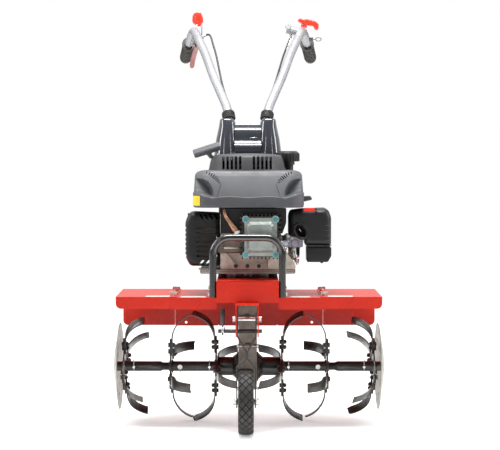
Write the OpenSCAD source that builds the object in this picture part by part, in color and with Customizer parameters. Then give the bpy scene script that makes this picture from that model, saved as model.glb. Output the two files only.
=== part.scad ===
/* [Rotor] */
// Width over the two plant-guard discs
working_w = 850; // [840:1:860]
// Height of the rotor shaft above the ground
axis_z = 180.2; // [180.1:0.1:182]
// Width of a tine blade
tine_w = 32; // [30:1:34]
// Thickness of a tine blade
tine_t = 4; // [3:0.5:5]
// Outside diameter of the rotor sleeves
sleeve_d = 32; // [31:1:34]
// Diameter of a plant-guard disc
disc_d = 273; // [260:1:280]

/* [Wheel] */
// Outside diameter of the front wheel
wheel_d = 202; // [200:1:204]
// Width of the front wheel
wheel_w = 48; // [46:1:50]

/* [Frame and fenders] */
// Width of the frame channel
channel_w = 190; // [188:1:192]
// Half width over the outer fenders
fender_half = 412; // [405:1:414]
// Half width of the bumper hoop, on its centreline
hoop_half = 106; // [106:1:110]
// Diameter of the bumper tube
hoop_d = 22; // [20:1:22]

/* [Handlebars] */
// Diameter of the handlebar tubes
bar_d = 30; // [28:1:30]
// Diameter of the hand grips
grip_d = 42; // [38:1:42]

/* [Hidden] */
$fn = 64;

red = [0.78, 0.12, 0.05];
black = [0.08, 0.08, 0.08];
charcoal = [0.17, 0.17, 0.18];
zinc = [0.75, 0.76, 0.74];
cast = [0.6, 0.6, 0.58];
steel = [0.5, 0.5, 0.49];

// All the pieces are drawn with y = 0 at the rotor shaft and moved back together.
rotor_y = -274.5;
// Centre plane of the frame, gearcase and engine
cx = -4;
front_y = -199;
channel_top = 464;
channel_low = 400;
sheet = 4;
crank_y = 75;
worm_y = -52;
shaft_d = 25;
fit = 0.05;
hub_x = [104, 247, 394];
// Turn of each hub's plate about the shaft, and which way its tines are set off from the centre
hub_turn = [28.5, -1.5, 45];
hub_side = [-1, 1, -1];
plate_t = 5;
tine_offset = 34;
root_r = 86;
bend_r = 86;
bend_angle = 70;
tip_len = 8;
bolt_r = [50, 70];
fender_front = -127;
fender_back = 170;
fender_top = 410;
lip_low = 373;
skirt_low = 291;
overlap_x = 222;
wing_y = [-70, 110];
wheel_y = -220;
wheel_x = -9;
pivot_y = -222;
pivot_z = 352;
rod_y = -201.5;
rod_travel = 5;
rod_z = 314;
bracket_x = [-41, 30];
base_z = 478;
cover_x = [-175, 172];
cover_y = [-105, 225];
cover_z = [683, 799];
hood_z = 855;
cap_x = 126;
cap_y = 172;
tilt_y = 310;
tilt_z = 950;
lever_y = 634;
lever_z = 1238;
paddle_z = 1309;
stake_y = 412;
stake_w = 30;
pin_z = 430;
pin_step = 24;
pulley_z = 425;
pulley_r = [55, 30];
belt_in = [43.5, 19.5];
belt_h = 8;

module at_base() { translate([0, rotor_y, 0]) children(); }

module at_shaft() { translate([0, rotor_y, axis_z]) children(); }

module both_sides() {
    children();
    mirror([1, 0, 0]) children();
}

module box(lo, hi) { translate(lo) cube(hi - lo); }

module bar_x(d, x0, x1) { translate([x0, 0, 0]) rotate([0, 90, 0]) cylinder(d = d, h = x1 - x0); }

module bar_y(d, y0, y1) { translate([0, y0, 0]) rotate([-90, 0, 0]) cylinder(d = d, h = y1 - y0); }

// A hexagon bar along x, measured across its flats
module hex_x(af, x0, x1) {
    translate([x0, 0, 0]) rotate([0, 90, 0]) cylinder(d = af / cos(30), h = x1 - x0, $fn = 6);
}

module hex_y(af, y0, y1) {
    translate([0, y0, 0]) rotate([-90, 0, 0]) cylinder(d = af / cos(30), h = y1 - y0, $fn = 6);
}

module hex_z(af, h) { cylinder(d = af / cos(30), h = h, $fn = 6); }

// A y-z outline carried along x
module along_x(x0, x1) { translate([x0, 0, 0]) rotate([90, 0, 90]) linear_extrude(x1 - x0) children(); }

// An x-z outline carried along y
module along_y(y0, y1) { translate([0, y1, 0]) rotate([90, 0, 0]) linear_extrude(y1 - y0) children(); }

module rounded_square(w, h, r) {
    translate([r, 0]) square([w - 2 * r, h]);
    translate([0, r]) square([w, h - 2 * r]);
    for (x = [r, w - r], y = [r, h - r]) translate([x, y]) circle(r);
}

function unit(v) = v / norm(v);
function side_of(a, b) = let (d = unit(b - a)) [-d[1], d[0]];
function mitre(p, i, s) =
    i == 0 ? p[0] + s * side_of(p[0], p[1]) :
    i == len(p) - 1 ? p[i] + s * side_of(p[i - 1], p[i]) :
    let (n = side_of(p[i - 1], p[i]), m = unit(n + side_of(p[i], p[i + 1]))) p[i] + s / (m * n) * m;

// A strip of even thickness along a line of points
module strip(p, t) {
    last = len(p) - 1;
    polygon(concat([for (i = [0:last]) mitre(p, i, t / 2)], [for (i = [last:-1:0]) mitre(p, i, -t / 2)]));
}

// A smooth curve through the points p, in n steps for each stretch
function curve_point(a, b, c, d, t) =
    0.5 * (2 * b + (c - a) * t + (2 * a - 5 * b + 4 * c - d) * t * t + (3 * b - a - 3 * c + d) * t * t * t);
function curve(p, n) = concat(
    [for (i = [0:len(p) - 2], k = [0:n - 1])
        curve_point(p[max(i - 1, 0)], p[i], p[i + 1], p[min(i + 2, len(p) - 1)], k / n)],
    [p[len(p) - 1]]);
function heading(q, i) = unit(q[min(i + 1, len(q) - 1)] - q[max(i - 1, 0)]);
function carried(q, i, v) = let (h = heading(q, i)) unit(v - (v * h) * h);
function frames(q, i, v) = i == len(q) ? [] : let (w = carried(q, i, v)) concat([w], frames(q, i + 1, w));

function ring_points(q, side, d, sides) = [for (i = [0:len(q) - 1], k = [0:sides - 1])
    let (a = 360 * k / sides, u = side[i], w = cross(heading(q, i), u))
    q[i] + d / 2 * (cos(a) * u + sin(a) * w)];
function walls(rings, sides, first) = [for (i = [0:rings - 2], k = [0:sides - 1])
    let (a = first + i * sides + k, b = first + i * sides + (k + 1) % sides) [a, a + sides, b + sides, b]];
function flipped(faces) = [for (f = faces) [f[3], f[2], f[1], f[0]]];

// A round bar or cable swept along the points q
module sweep(q, d, sides) {
    rings = len(q);
    ends = [[for (k = [0:sides - 1]) k], [for (k = [sides - 1:-1:0]) (rings - 1) * sides + k]];
    polyhedron(ring_points(q, frames(q, 0, [0, 1, 0.3]), d, sides), concat(walls(rings, sides, 0), ends));
}

// A round tube of bore d_in swept along the points q
module sweep_tube(q, d, d_in, sides) {
    rings = len(q);
    side = frames(q, 0, [0, 1, 0.3]);
    inner = rings * sides;
    last = (rings - 1) * sides;
    rims = [for (k = [0:sides - 1]) let (n = (k + 1) % sides)
        each [[k, n, inner + n, inner + k], [last + n, last + k, inner + last + k, inner + last + n]]];
    polyhedron(
        concat(ring_points(q, side, d, sides), ring_points(q, side, d_in, sides)),
        concat(walls(rings, sides, 0), flipped(walls(rings, sides, inner)), rims));
}

// A straight round bar from a to b
module rod(a, b, d) {
    v = b - a;
    translate(a) rotate([0, acos(v[2] / norm(v)), atan2(v[1], v[0])]) cylinder(d = d, h = norm(v));
}

// ---- frame ----

module main_frame() {
    wall = channel_w / 2;
    color(red) at_base() difference() {
        union() {
            box([cx - wall, front_y, channel_top - sheet], [cx + wall, 395, channel_top]);
            box([cx - wall, front_y, channel_low], [cx + wall, front_y + sheet, channel_top]);
            for (s = [0, 1]) translate([cx - wall + s * (channel_w - sheet), 0, 0])
                box([0, front_y, channel_low], [sheet, 395, channel_top]);
            box([cx - wall, -110, channel_low - sheet], [cx + wall, 8, channel_low]);
            box([cx - wall, 391, channel_low], [cx + wall, 395, channel_top]);
            box([cx - 24, 394, 392], [cx + 24, 428, channel_top]);
            box([cx - wall, 168, skirt_low], [cx + wall, 171, 446]);
        }
        translate([cx, crank_y, 400]) cylinder(d = 60, h = 100);
        translate([cx, worm_y, 380]) cylinder(d = 46, h = 60);
        for (x = [-80, 80], y = [-20, 170]) translate([cx + x, y, 440]) cylinder(d = 8.4, h = 40);
        for (x = [-22, 22], y = [-92, -12]) translate([cx + x, y, 380]) cylinder(d = 6.4, h = 40);
        box([cx - stake_w / 2 - 0.5, stake_y - 5.5, 380], [cx + stake_w / 2 + 0.5, stake_y + 4.5, 480]);
        translate([cx, 0, pin_z]) bar_y(10.5, 385, 440);
        for (z = [425, 448]) translate([0, -185, z]) bar_x(6.4, -150, 150);
        for (y = [-80, 60]) translate([0, y, 432]) bar_x(6.4, -150, 150);
        for (x = [-42, 42], y = [315, 378]) translate([cx + x, y, 440]) cylinder(d = 8.4, h = 40);
    }
}

module hoop_line(r) {
    low = 415;
    top = 598;
    for (s = [-1, 1]) translate([s * hoop_half, 0, low]) cylinder(d = r, h = top - 52 - low);
    for (s = [0, 1]) mirror([s, 0, 0]) translate([hoop_half - 52, 0, top - 52])
        rotate([90, 0, 0]) rotate_extrude(angle = 90) translate([52, 0]) circle(d = r);
    translate([0, 0, top]) bar_x(r, 52 - hoop_half, hoop_half - 52);
}

module front_bumper() {
    color(black) at_base() translate([cx, -185, 0]) difference() {
        hoop_line(hoop_d);
        for (z = [425, 448]) translate([0, 0, z]) bar_x(6.4, -150, 150);
    }
}

module cap_bolt_x(d, head, x0, x1, toward) {
    bar_x(d, x0, x1);
    hex_x(head, toward > 0 ? x1 : x0 - d * 0.65, toward > 0 ? x1 + d * 0.65 : x0);
}

module frame_bolts() {
    wall = channel_w / 2;
    color(zinc) at_base() {
        // bumper feet
        for (s = [0, 1], z = [425, 448]) translate([cx, -185, z]) mirror([s, 0, 0])
            cap_bolt_x(6, 10, wall - sheet - 3, hoop_half + hoop_d / 2, 1);
        // engine to frame
        for (x = [-80, 80], y = [-20, 170]) translate([cx + x, y, 452]) {
            cylinder(d = 8, h = 48);
            translate([0, 0, 48]) hex_z(13, 5.5);
        }
        // gearcase to frame
        for (x = [-22, 22], y = [-92, -12]) translate([cx + x, y, 384]) {
            cylinder(d = 6, h = 18);
            translate([0, 0, 16]) hex_z(10, 4.5);
        }
        // gearcase halves
        for (p = gear_lugs) translate([cx, p[0], p[1]]) {
            bar_x(6, -31, 31);
            hex_x(10, 29.2, 33.5);
            hex_x(10, -33.5, -29.2);
        }
        // wing bolts of the fender extensions
        both_sides() for (y = wing_y) translate([235, y, 0]) {
            translate([0, 0, 398]) cylinder(d = 6, h = 17);
            translate([0, 0, 412.2]) cylinder(d = 13, h = 4);
            translate([0, 0, 414]) rotate([0, 0, 25]) box([-13, -2, 0], [13, 2, 10]);
            translate([0, 0, 403.5]) hex_z(10, 4.3);
        }
        // fenders to frame
        for (s = [0, 1], y = [-80, 60]) translate([cx, y, 432]) mirror([s, 0, 0])
            cap_bolt_x(6, 10, wall - sheet - 3, wall + 2, 1);
        // column foot
        for (x = [-42, 42], y = [315, 378]) translate([cx + x, y, 456]) {
            cylinder(d = 8, h = 14);
            translate([0, 0, 13]) hex_z(13, 5);
        }
        // wheel bracket to channel
        for (x = [-25, 25]) translate([cx + x, -180, 392]) {
            cylinder(d = 8, h = 14);
            translate([0, 0, 12.5]) hex_z(13, 5);
        }
        // fork pivot
        translate([0, pivot_y, pivot_z]) {
            bar_x(10, bracket_x[0] - 2, bracket_x[1] + 2);
            hex_x(16, bracket_x[0] - 8, bracket_x[0]);
            hex_x(16, bracket_x[1], bracket_x[1] + 8);
        }
    }
}

module wheel_bracket() {
    color(red) at_base() difference() {
        union() {
            box([bracket_x[0], -245, 396], [bracket_x[1], -165, channel_low]);
            for (x = [bracket_x[0], bracket_x[1] - sheet]) translate([x, 0, 0])
                along_x(0, sheet) polygon([[-245, 398], [-165, 398], [-165, 372], [-188, 299],
                    [-236, 299], [-245, 330]]);
        }
        translate([0, pivot_y, pivot_z]) bar_x(10.1, -60, 60);
        for (z = [rod_z, rod_z - rod_travel]) translate([0, rod_y, z]) bar_x(12.6, -60, 60);
        box([-60, rod_y - 6.3, rod_z - rod_travel], [60, rod_y + 6.3, rod_z]);
        for (x = [-25, 25]) translate([cx + x, -180, 380]) cylinder(d = 8.4, h = 40);
    }
}

// ---- gearcase ----

gear_lugs = [[-88, 345], [-16, 330], [-88, 255], [62, 236], [62, 128], [-66, 118]];

module case_outline(inset) {
    circle_r = 70 - inset;
    translate([0, axis_z]) circle(circle_r);
    translate([-84 + inset, 135 + inset]) square([64 - 2 * inset, 392 - 135 - inset * 2]);
    polygon([[-20 - inset, 300], [-20 - inset, 230], [20, 225 - inset]]);
}

module case_half(x0, x1, wall_x0, wall_x1) {
    difference() {
        union() {
            along_x(x0, x1) case_outline(0);
            along_x(wall_x0, wall_x1) for (p = gear_lugs) translate(p) circle(9);
            along_x(wall_x0, wall_x1) for (p = gear_lugs) {
                inner = [p[0] * 0.8 - 5, p[1] < 240 ? axis_z + (p[1] - axis_z) * 0.75 : p[1]];
                strip([p, inner], 18);
            }
        }
        // worm wheel chamber and worm chamber
        translate([0, 0, axis_z]) bar_x(130, cx - 24, cx + 24);
        intersection() {
            along_x(cx - 24, cx + 24) translate([-79, 140]) square([54, 84]);
            box([cx - 24, -100, 100], [cx + 24, 100, 300]);
        }
        translate([cx, worm_y, 130]) cylinder(d = 30, h = 20);
        translate([cx, worm_y, 126]) cylinder(d = 24, h = 300);
        for (z = [226, 372]) translate([cx, worm_y, z]) cylinder(d = 42, h = 21);
        translate([0, 0, axis_z]) bar_x(48, cx - 60, cx + 60);
        for (p = gear_lugs) translate([0, p[0], p[1]]) bar_x(6.4, cx - 60, cx + 60);
        for (x = [-22, 22], y = [-76, -28]) translate([cx + x, y, 378]) cylinder(d = 5, h = 30);
    }
}

module gearcase_left() { color(cast) at_base() case_half(cx - 29, cx, cx - 7, cx); }

module gearcase_right() { color(cast) at_base() case_half(cx, cx + 29, cx, cx + 7); }

// Tube and bolted flange round the shaft on each side of the gearcase
module axle_housing(x0, x1) {
    difference() {
        union() {
            bar_x(60, x0, x1);
            bar_x(92, x0, x0 + 5);
            translate([x0 + 5, 0, 0]) rotate([0, 90, 0]) cylinder(d1 = 84, d2 = 60, h = 14);
            for (a = [45:90:315]) rotate([a, 0, 0]) translate([0, 38, 0]) hex_x(10, x0 + 5, x0 + 10);
        }
        bar_x(48, x0 - 1, x1 + 1);
    }
}

module axle_housings() {
    color(black) at_shaft() {
        axle_housing(cx + 29, 98);
        mirror([1, 0, 0]) axle_housing(29 - cx, 98);
    }
}

module ring_x(d_out, d_in, x0, x1) {
    difference() {
        bar_x(d_out, x0, x1);
        bar_x(d_in, x0 - 1, x1 + 1);
    }
}

module ring_z(d_out, d_in, h) {
    difference() {
        cylinder(d = d_out, h = h);
        translate([0, 0, -1]) cylinder(d = d_in, h = h + 2);
    }
}

module bearings() {
    color(steel) {
        at_shaft() both_sides() ring_x(48, shaft_d + 2 * fit, 74, 89);
        at_base() {
            for (z = [228, 374]) translate([cx, worm_y, z]) ring_z(42, 18 + 2 * fit, 13);
            translate([cx, crank_y, 484]) ring_z(62, shaft_d + 2 * fit, 16);
            translate([cx, crank_y, 660]) ring_z(62, shaft_d + 2 * fit, 16);
        }
    }
}

module shaft_seals() {
    color(black) {
        at_shaft() both_sides() ring_x(48, shaft_d + 1, 90, 97);
        at_base() translate([cx, worm_y, 387.5]) ring_z(42, 19, 5);
    }
}

// ---- fenders ----

module bent_plate(x0, x1, z_top, corner) {
    box([x0, fender_front, z_top - 2], [x1, fender_back, z_top]);
    along_y(fender_front, fender_front + 2) lower_corners(x0, x1, lip_low + z_top - fender_top, z_top, corner);
    along_y(fender_back - 2, fender_back) lower_corners(x0, x1, skirt_low + z_top - fender_top, z_top, corner);
}

module lower_corners(x0, x1, z0, z1, r) {
    translate([x0, z0 + r]) square([x1 - x0, z1 - z0 - r]);
    translate([x0 + r, z0]) square([x1 - x0 - 2 * r, r]);
    for (x = [x0 + r, x1 - r]) translate([x, z0 + r]) circle(r);
}

module fender_holes() {
    for (y = wing_y) translate([235, y, 380]) cylinder(d = 6.6, h = 60);
    translate([206, 0, 302]) bar_y(8, fender_back - 10, fender_back + 10);
}

// Inner fender on the right; edge is the frame's outer face there
module inner_fender(edge) {
    color(red) difference() {
        union() {
            bent_plate(edge, 242, fender_top, 6);
            box([edge, -120, 400], [edge + 2, 120, 450]);
            translate([0, 0, fender_top - 20]) box([edge, fender_front, 0], [edge + 14, fender_front + 2, 19]);
        }
        fender_holes();
        for (y = [-80, 60]) translate([0, y, 432]) bar_x(6.4, edge - 5, edge + 10);
    }
}

module outer_fender() {
    color(red) difference() {
        bent_plate(overlap_x, fender_half, fender_top + 2, 16);
        box([overlap_x - 1, fender_back - 3, 200], [242.5, fender_back + 1, fender_top]);
        box([overlap_x - 1, fender_front - 1, 200], [242.5, fender_front + 3, fender_top]);
        for (y = wing_y) translate([235, y, 380]) cylinder(d = 6.6, h = 60);
    }
}

module inner_fender_left() { at_base() mirror([1, 0, 0]) inner_fender(channel_w / 2 - cx); }

module inner_fender_right() { at_base() inner_fender(channel_w / 2 + cx); }

module outer_fender_left() { at_base() mirror([1, 0, 0]) outer_fender(); }

module outer_fender_right() { at_base() outer_fender(); }

// ---- engine ----

module engine_block() {
    color(cast) at_base() difference() {
        union() {
            translate([cx - 150, -60, base_z]) linear_extrude(12) rounded_square(300, 275, 40);
            translate([cx, crank_y, base_z]) cylinder(d = 186, h = 202);
            box([-14, -85, 535], [86, 20, 659]);
            for (z = [541:14:653]) translate([0, 0, z]) box([-28, -85, 0], [100, 0, 4]);
            for (x = [-80, 80], y = [-20, 170]) translate([cx + x, y, channel_top]) cylinder(d = 26, h = 20);
        }
        translate([cx, crank_y, 500]) cylinder(d = 150, h = 160);
        translate([36, 0, 597]) bar_y(66, -86, 20);
        for (z = [484, 660]) translate([cx, crank_y, z]) cylinder(d = 62, h = 16);
        translate([cx, crank_y, 470]) cylinder(d = 30, h = 300);
        for (x = [-80, 80], y = [-20, 170]) translate([cx + x, y, 440]) cylinder(d = 8.4, h = 70);
    }
}

// The spark plug stands on the slant at the head's left side
module at_plug() { translate([-30, -104, 599.5]) rotate([0, -35.3, 0]) children(); }

exhaust_z = 556;

module cylinder_head() {
    color(cast) at_base() difference() {
        union() {
            box([-16, -125, 535], [88, -85, 659]);
            for (x = [-22:12:86]) translate([x, 0, 0]) box([0, -119, 528], [4, -86, 666]);
            for (z = [541:14:653]) translate([0, 0, z]) box([-28, -119, 0], [100, -86, 4]);
            at_plug() translate([0, 0, -28]) cylinder(d = 24, h = 36);
        }
        translate([36, 0, 597]) bar_y(60, -100, -80);
        at_plug() translate([0, 0, -40]) cylinder(d = 14, h = 60);
        at_plug() translate([0, 0, 8]) cylinder(d = 26, h = 40);
        translate([0, -104, 575]) bar_x(20, 82, 104);
        translate([0, -104, exhaust_z]) bar_x(20, -30, -10);
        for (x = [-10, 82], z = [542, 652]) translate([x, 0, z]) bar_y(6.2, -130, -100);
    }
}

module valve_cover() {
    color(cast) at_base() {
        difference() {
            union() {
                along_y(-131, -125) translate([-14, 538]) rounded_square(100, 118, 14);
                along_y(-134, -125) for (x = [-10, 82], z = [542, 652]) translate([x, z]) circle(11);
                hull() {
                    along_y(-134, -131) translate([-7, 549]) rounded_square(86, 96, 12, $fn = 24);
                    along_y(-150, -149) translate([1, 557]) rounded_square(70, 80, 10, $fn = 24);
                }
            }
            for (x = [-10, 82], z = [542, 652]) translate([x, 0, z]) bar_y(6.4, -140, -120);
            along_y(-145, -120) translate([4, 560]) square([64, 74]);
        }
        translate([36, 0, 628]) bar_y(18, -151, -149);
    }
}

module cover_bolts() {
    color([0.35, 0.6, 0.6]) at_base() for (x = [-10, 82], z = [542, 652]) translate([x, 0, z]) {
        bar_y(6, -134, -108);
        hex_y(10, -140, -134);
        bar_y(14, -135.2, -134);
    }
}

module spark_plug() {
    color("white") at_base() at_plug() {
        translate([0, 0, -34]) cylinder(d = 14, h = 43);
        translate([0, 0, 8]) hex_z(19, 7);
        translate([0, 0, 14]) cylinder(d = 12, h = 25);
        translate([0, 0, 38]) cylinder(d = 6, h = 6);
    }
}

lead_route = [[-55, -104, 634.8], [-66.6, -103.5, 651.2], [-73, -99, 662], [-77, -91, 676],
    [-77, -80, 690], [-72, -69, 701], [-60, -60, 708], [-46, -54, 711]];

module ignition_lead() {
    color(black) at_base() difference() {
        union() {
            sweep(curve(lead_route, 3), 9, 10);
            at_plug() translate([0, 0, 17]) cylinder(d = 17, h = 38);
            box([-62, -56, 698], [-18, -32, 726]);
        }
        at_plug() translate([0, 0, 16]) cylinder(d = 12.2, h = 23.5);
        at_plug() translate([0, 0, 30]) cylinder(d = 6.2, h = 15);
    }
}

module muffler() {
    color(steel) at_base() {
        difference() {
            translate([-182, -36, 521]) cube([78, 92, 128]);
            translate([-178, -32, 525]) cube([70, 84, 120]);
            translate([0, 30, 632]) bar_x(16, -190, -174);
        }
        translate([0, -104, exhaust_z]) bar_x(19.5, -85, -17);
        translate([-85, 0, exhaust_z]) bar_y(21.5, -115, -9);
        translate([0, -20, exhaust_z]) bar_x(19.5, -104, -85);
    }
}

// Front outline of the muffler guard with its two cut corners
module guard_outline(inset) {
    x0 = -200 + inset;
    x1 = -98;
    z0 = 500 + inset;
    z1 = 670 - inset;
    cut = 30 - inset * 0.4;
    polygon([[x1, z0], [x1, z1], [x0 + cut, z1], [x0, z1 - cut], [x0, z0 + cut], [x0 + cut, z0]]);
}

module muffler_guard() {
    color(black) at_base() difference() {
        union() {
            along_y(-53, 66) guard_outline(0);
            along_y(-56, -52) guard_outline(3);
        }
        along_y(-53, 74) guard_outline(4);
        for (k = [0:6]) translate([0, 0, 537 + 14.4 * k]) {
            box([-164, -60, -3.5], [-100, -48, 3.5]);
            box([-205, -34, -3.5], [-190, 56, 3.5]);
        }
        for (k = [0:3]) translate([-160 + 15 * k, 0, 640]) {
            translate([0, -60, 0]) rotate([0, -25, 0]) cube([7, 10, 16]);
            translate([0, -60, -109]) rotate([0, 25, 0]) translate([0, 0, -6]) cube([7, 10, 16]);
        }
    }
}

module carburettor() {
    color(steel) at_base() {
        difference() {
            union() {
                box([116, -22, 560], [168, 22, 602]);
                translate([0, 0, 580]) bar_x(40, 112, 170);
                translate([143, 0, 556]) cylinder(d = 36, h = 5);
            }
            translate([0, 0, 580]) bar_x(24, 110, 172);
            translate([152, -15, 590]) cylinder(d = 4.2, h = 20);
        }
        // intake pipe from the head
        difference() {
            union() {
                translate([0, -104, 575]) bar_x(19.5, 84, 118);
                translate([112, 0, 575]) bar_y(19.5, -113, -2);
                box([101.5, -4, 564], [117, 14, 596]);
            }
            translate([0, 0, 580]) bar_x(18, 104, 118);
        }
        // float bowl and drain screw
        translate([143, 0, 526]) difference() {
            cylinder(d = 34, h = 30);
            translate([0, 0, 3]) cylinder(d = 29, h = 30);
        }
        translate([143, 0, 518]) hex_z(10, 8);
    }
}

module filter_shape(inset) {
    translate([181 + inset, 515 + inset]) square([60 - inset * 2, 168 - inset * 2]);
    polygon([[240 - inset, 515 + inset], [244 - inset, 515 + inset], [260 - inset, 535], [260 - inset, 665],
        [244 - inset, 683 - inset], [240 - inset, 683 - inset]]);
    translate([121 + inset, 612 + inset]) square([80, 71 - inset * 2]);
}

module air_filter_case() {
    color(black) at_base() {
        difference() {
            union() {
                along_y(-66, 46) filter_shape(0);
                along_y(-70, -66) filter_shape(5);
                translate([163, 0, 640]) bar_y(50, -74, -60);
                box([176, -73, 560], [256, -60, 566]);
                translate([178, 0, 580]) bar_x(40, -8, 6);
            }
            along_y(-63, 42) filter_shape(3);
            translate([163, 0, 640]) bar_y(38, -80, -60);
            translate([0, 0, 580]) bar_x(22, 165, 190);
        }
        // latch
        box([175, -73, 674], [202, -64, 687]);
    }
}

module air_filter_element() {
    color([0.2, 0.2, 0.2]) at_base() difference() {
        box([190, -55, 528], [244, 36, 650]);
        box([202, -43, 540], [232, 24, 651]);
    }
}

// A level slice of the cover with round corners, set back by front at its front
module slab(z, h, inset, r, front) {
    w = cover_x[1] - cover_x[0] - 2 * inset;
    d = cover_y[1] - cover_y[0] - 2 * inset - front;
    translate([cover_x[0] + inset, cover_y[0] + inset + front, z]) linear_extrude(h)
        rounded_square(w, d, r, $fn = 40);
}

module cover_solid(inset) {
    hull() {
        slab(cover_z[0] + 24, 1, inset, 46 - inset, 0);
        slab(cover_z[0] + 35, 1, 1 + inset, 46 - inset, 2);
        slab(cover_z[1] - 13 - inset, 1, 6 + inset, 44 - inset, 36);
        slab(cover_z[1] - 1 - inset, 1, 17 + inset, 40 - inset, 32);
    }
}

module engine_cover() {
    color(charcoal) at_base() difference() {
        union() {
            cover_solid(0);
            slab(cover_z[0], 26, 0, 46, 0);
        }
        cover_solid(3);
        slab(cover_z[0] - 1, 30, 3, 43, 0);
        translate([cx, crank_y, 790]) cylinder(d = 180, h = 20);
        translate([cap_x, cap_y, 700]) cylinder(d = 38, h = 110);
    }
}

module recoil_housing() {
    color(charcoal) at_base() translate([cx - 2, crank_y, 0]) difference() {
        union() {
            translate([0, 0, cover_z[1]]) cylinder(r1 = 124, r2 = 118, h = 29);
            translate([0, 0, cover_z[1] + 29]) cylinder(r1 = 118, r2 = 111, h = 21);
            translate([0, 0, cover_z[1] + 50]) cylinder(r1 = 111, r2 = 105, h = 6);
        }
        translate([0, 0, cover_z[1] - 2]) cylinder(r1 = 120, r2 = 106, h = 54);
        for (s = [-1, 1], k = [0:4]) translate([s * (21 + 13.2 * k), 0, 0])
            box([-4, -130, 807], [4, -68, 870]);
        for (a = [60:30:120]) rotate([0, 0, a - 90]) translate([0, 90, 0]) box([-4, -30, 807], [4, 40, 870]);
        translate([-104, -17, 827.6]) rotate([0, -33.7, 0]) cylinder(d = 14, h = 60, center = true);
    }
}

module fuel_tank() {
    color(black) at_base() difference() {
        union() {
            box([95, 120, 715], [143, 186, 765]);
            translate([cap_x, cap_y, 764]) cylinder(d = 37, h = 62);
        }
        box([98, 123, 718], [140, 183, 762]);
        translate([cap_x, cap_y, 750]) cylinder(d = 30, h = 90);
    }
}

module crankshaft() {
    color(steel) at_base() translate([cx, crank_y, 0]) {
        difference() {
            union() {
                translate([0, 0, 420]) cylinder(d = shaft_d, h = 148);
                translate([0, 0, 618]) cylinder(d = shaft_d, h = 128);
                for (z = [568, 606]) translate([0, 0, z]) cylinder(d = 90, h = 12);
                translate([0, -24, 575]) cylinder(d = 22, h = 36);
            }
            for (z = [560, 600]) translate([-60, -60, z]) cube([34, 120, 30]);
            for (z = [560, 600]) translate([26, -60, z]) cube([34, 120, 30]);
        }
        // drive pulley
        difference() {
            translate([0, 0, pulley_z]) cylinder(r = pulley_r[1], h = 20);
            translate([0, 0, pulley_z + 4]) difference() {
                cylinder(r = pulley_r[1] + 1, h = 12);
                cylinder(r = 18, h = 12);
            }
        }
    }
}

module flywheel() {
    color(steel) at_base() translate([cx, crank_y, 0]) difference() {
        union() {
            translate([0, 0, 700]) cylinder(d = 176, h = 14);
            translate([0, 0, 695]) cylinder(d = 60, h = 32);
            for (a = [0:24:336]) rotate([0, 0, a]) translate([46, -2, 713]) cube([38, 4, 24]);
        }
        translate([0, 0, 690]) cylinder(d = shaft_d, h = 50);
    }
}

// ---- belt drive ----

module belt_loop(r_big, r_small) {
    gap = crank_y - worm_y;
    a = acos((r_big - r_small) / gap);
    circle(r_big);
    translate([0, gap]) circle(r_small);
    polygon([
        [r_big * sin(a), r_big * cos(a)], [r_small * sin(a), gap + r_small * cos(a)],
        [-r_small * sin(a), gap + r_small * cos(a)], [-r_big * sin(a), r_big * cos(a)]
    ]);
}

module belt() {
    color(black) at_base() translate([cx, worm_y, pulley_z + 5]) linear_extrude(10) difference() {
        belt_loop(belt_in[0] + belt_h, belt_in[1] + belt_h);
        belt_loop(belt_in[0], belt_in[1]);
    }
}

module driven_pulley() {
    color(steel) at_base() translate([cx, worm_y, 0]) difference() {
        translate([0, 0, pulley_z]) cylinder(r = pulley_r[0], h = 20);
        translate([0, 0, pulley_z + 4]) difference() {
            cylinder(r = pulley_r[0] + 1, h = 12);
            cylinder(r = 42, h = 12);
        }
        translate([0, 0, pulley_z - 1]) cylinder(d = 18, h = 40);
        for (a = [0:90:270]) rotate([0, 0, a]) translate([27, 0, pulley_z - 1]) cylinder(d = 14, h = 40);
    }
}

worm_pitch = 15.708;
worm_turns = 3;

module worm_shaft() {
    color(steel) at_base() translate([cx, worm_y, 0]) {
        translate([0, 0, 136]) cylinder(d = 18, h = 316);
        translate([0, 0, axis_z - worm_pitch * worm_turns / 2])
            linear_extrude(worm_pitch * worm_turns, twist = -360 * worm_turns, slices = 42)
                rotate(90 - 180 * worm_turns) translate([8, 0]) circle(7, $fn = 14);
    }
}

module worm_wheel() {
    color([0.7, 0.55, 0.25]) at_shaft() translate([cx, 0, 0]) difference() {
        rotate([0, 90, 0]) linear_extrude(12, center = true) union() {
            circle(33);
            for (k = [0:15]) rotate([0, 0, 22.5 * k + 11.25]) polygon([[30, -3.8], [42.8, -1.8], [42.8, 1.8], [30, 3.8]]);
        }
        bar_x(shaft_d, -10, 10);
    }
}

module idler_arm() {
    color(steel) at_base() difference() {
        union() {
            translate([cx + 76, 95, 449]) cylinder(d = 22, h = 4);
            translate([cx + 66, 12, 449]) cylinder(d = 22, h = 4);
            translate([cx, 0, 449]) linear_extrude(4) strip([[76, 95], [66, 12]], 20);
            translate([cx + 76, 95, 449]) cylinder(d = 12, h = 10.7);
            translate([cx + 66, 12, 427]) cylinder(d = 8, h = 23);
            translate([cx + 66, 12, 424]) cylinder(d = 13, h = 3.4);
        }
        translate([cx + 76, 95, 440]) cylinder(d = 4, h = 12);
    }
}

module idler_wheel() {
    color(black) at_base() translate([cx + 66, 12, 428]) difference() {
        cylinder(d = 36, h = 14);
        translate([0, 0, -1]) cylinder(d = 8 + 2 * fit, h = 20);
    }
}

// ---- rotor ----

module rotor_shaft() {
    color(steel) at_shaft() difference() {
        bar_x(shaft_d, -185, 185);
        both_sides() translate([125, 0, 0]) rotate([90, 0, 0]) cylinder(d = 8.4, h = 60, center = true);
    }
}

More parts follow.
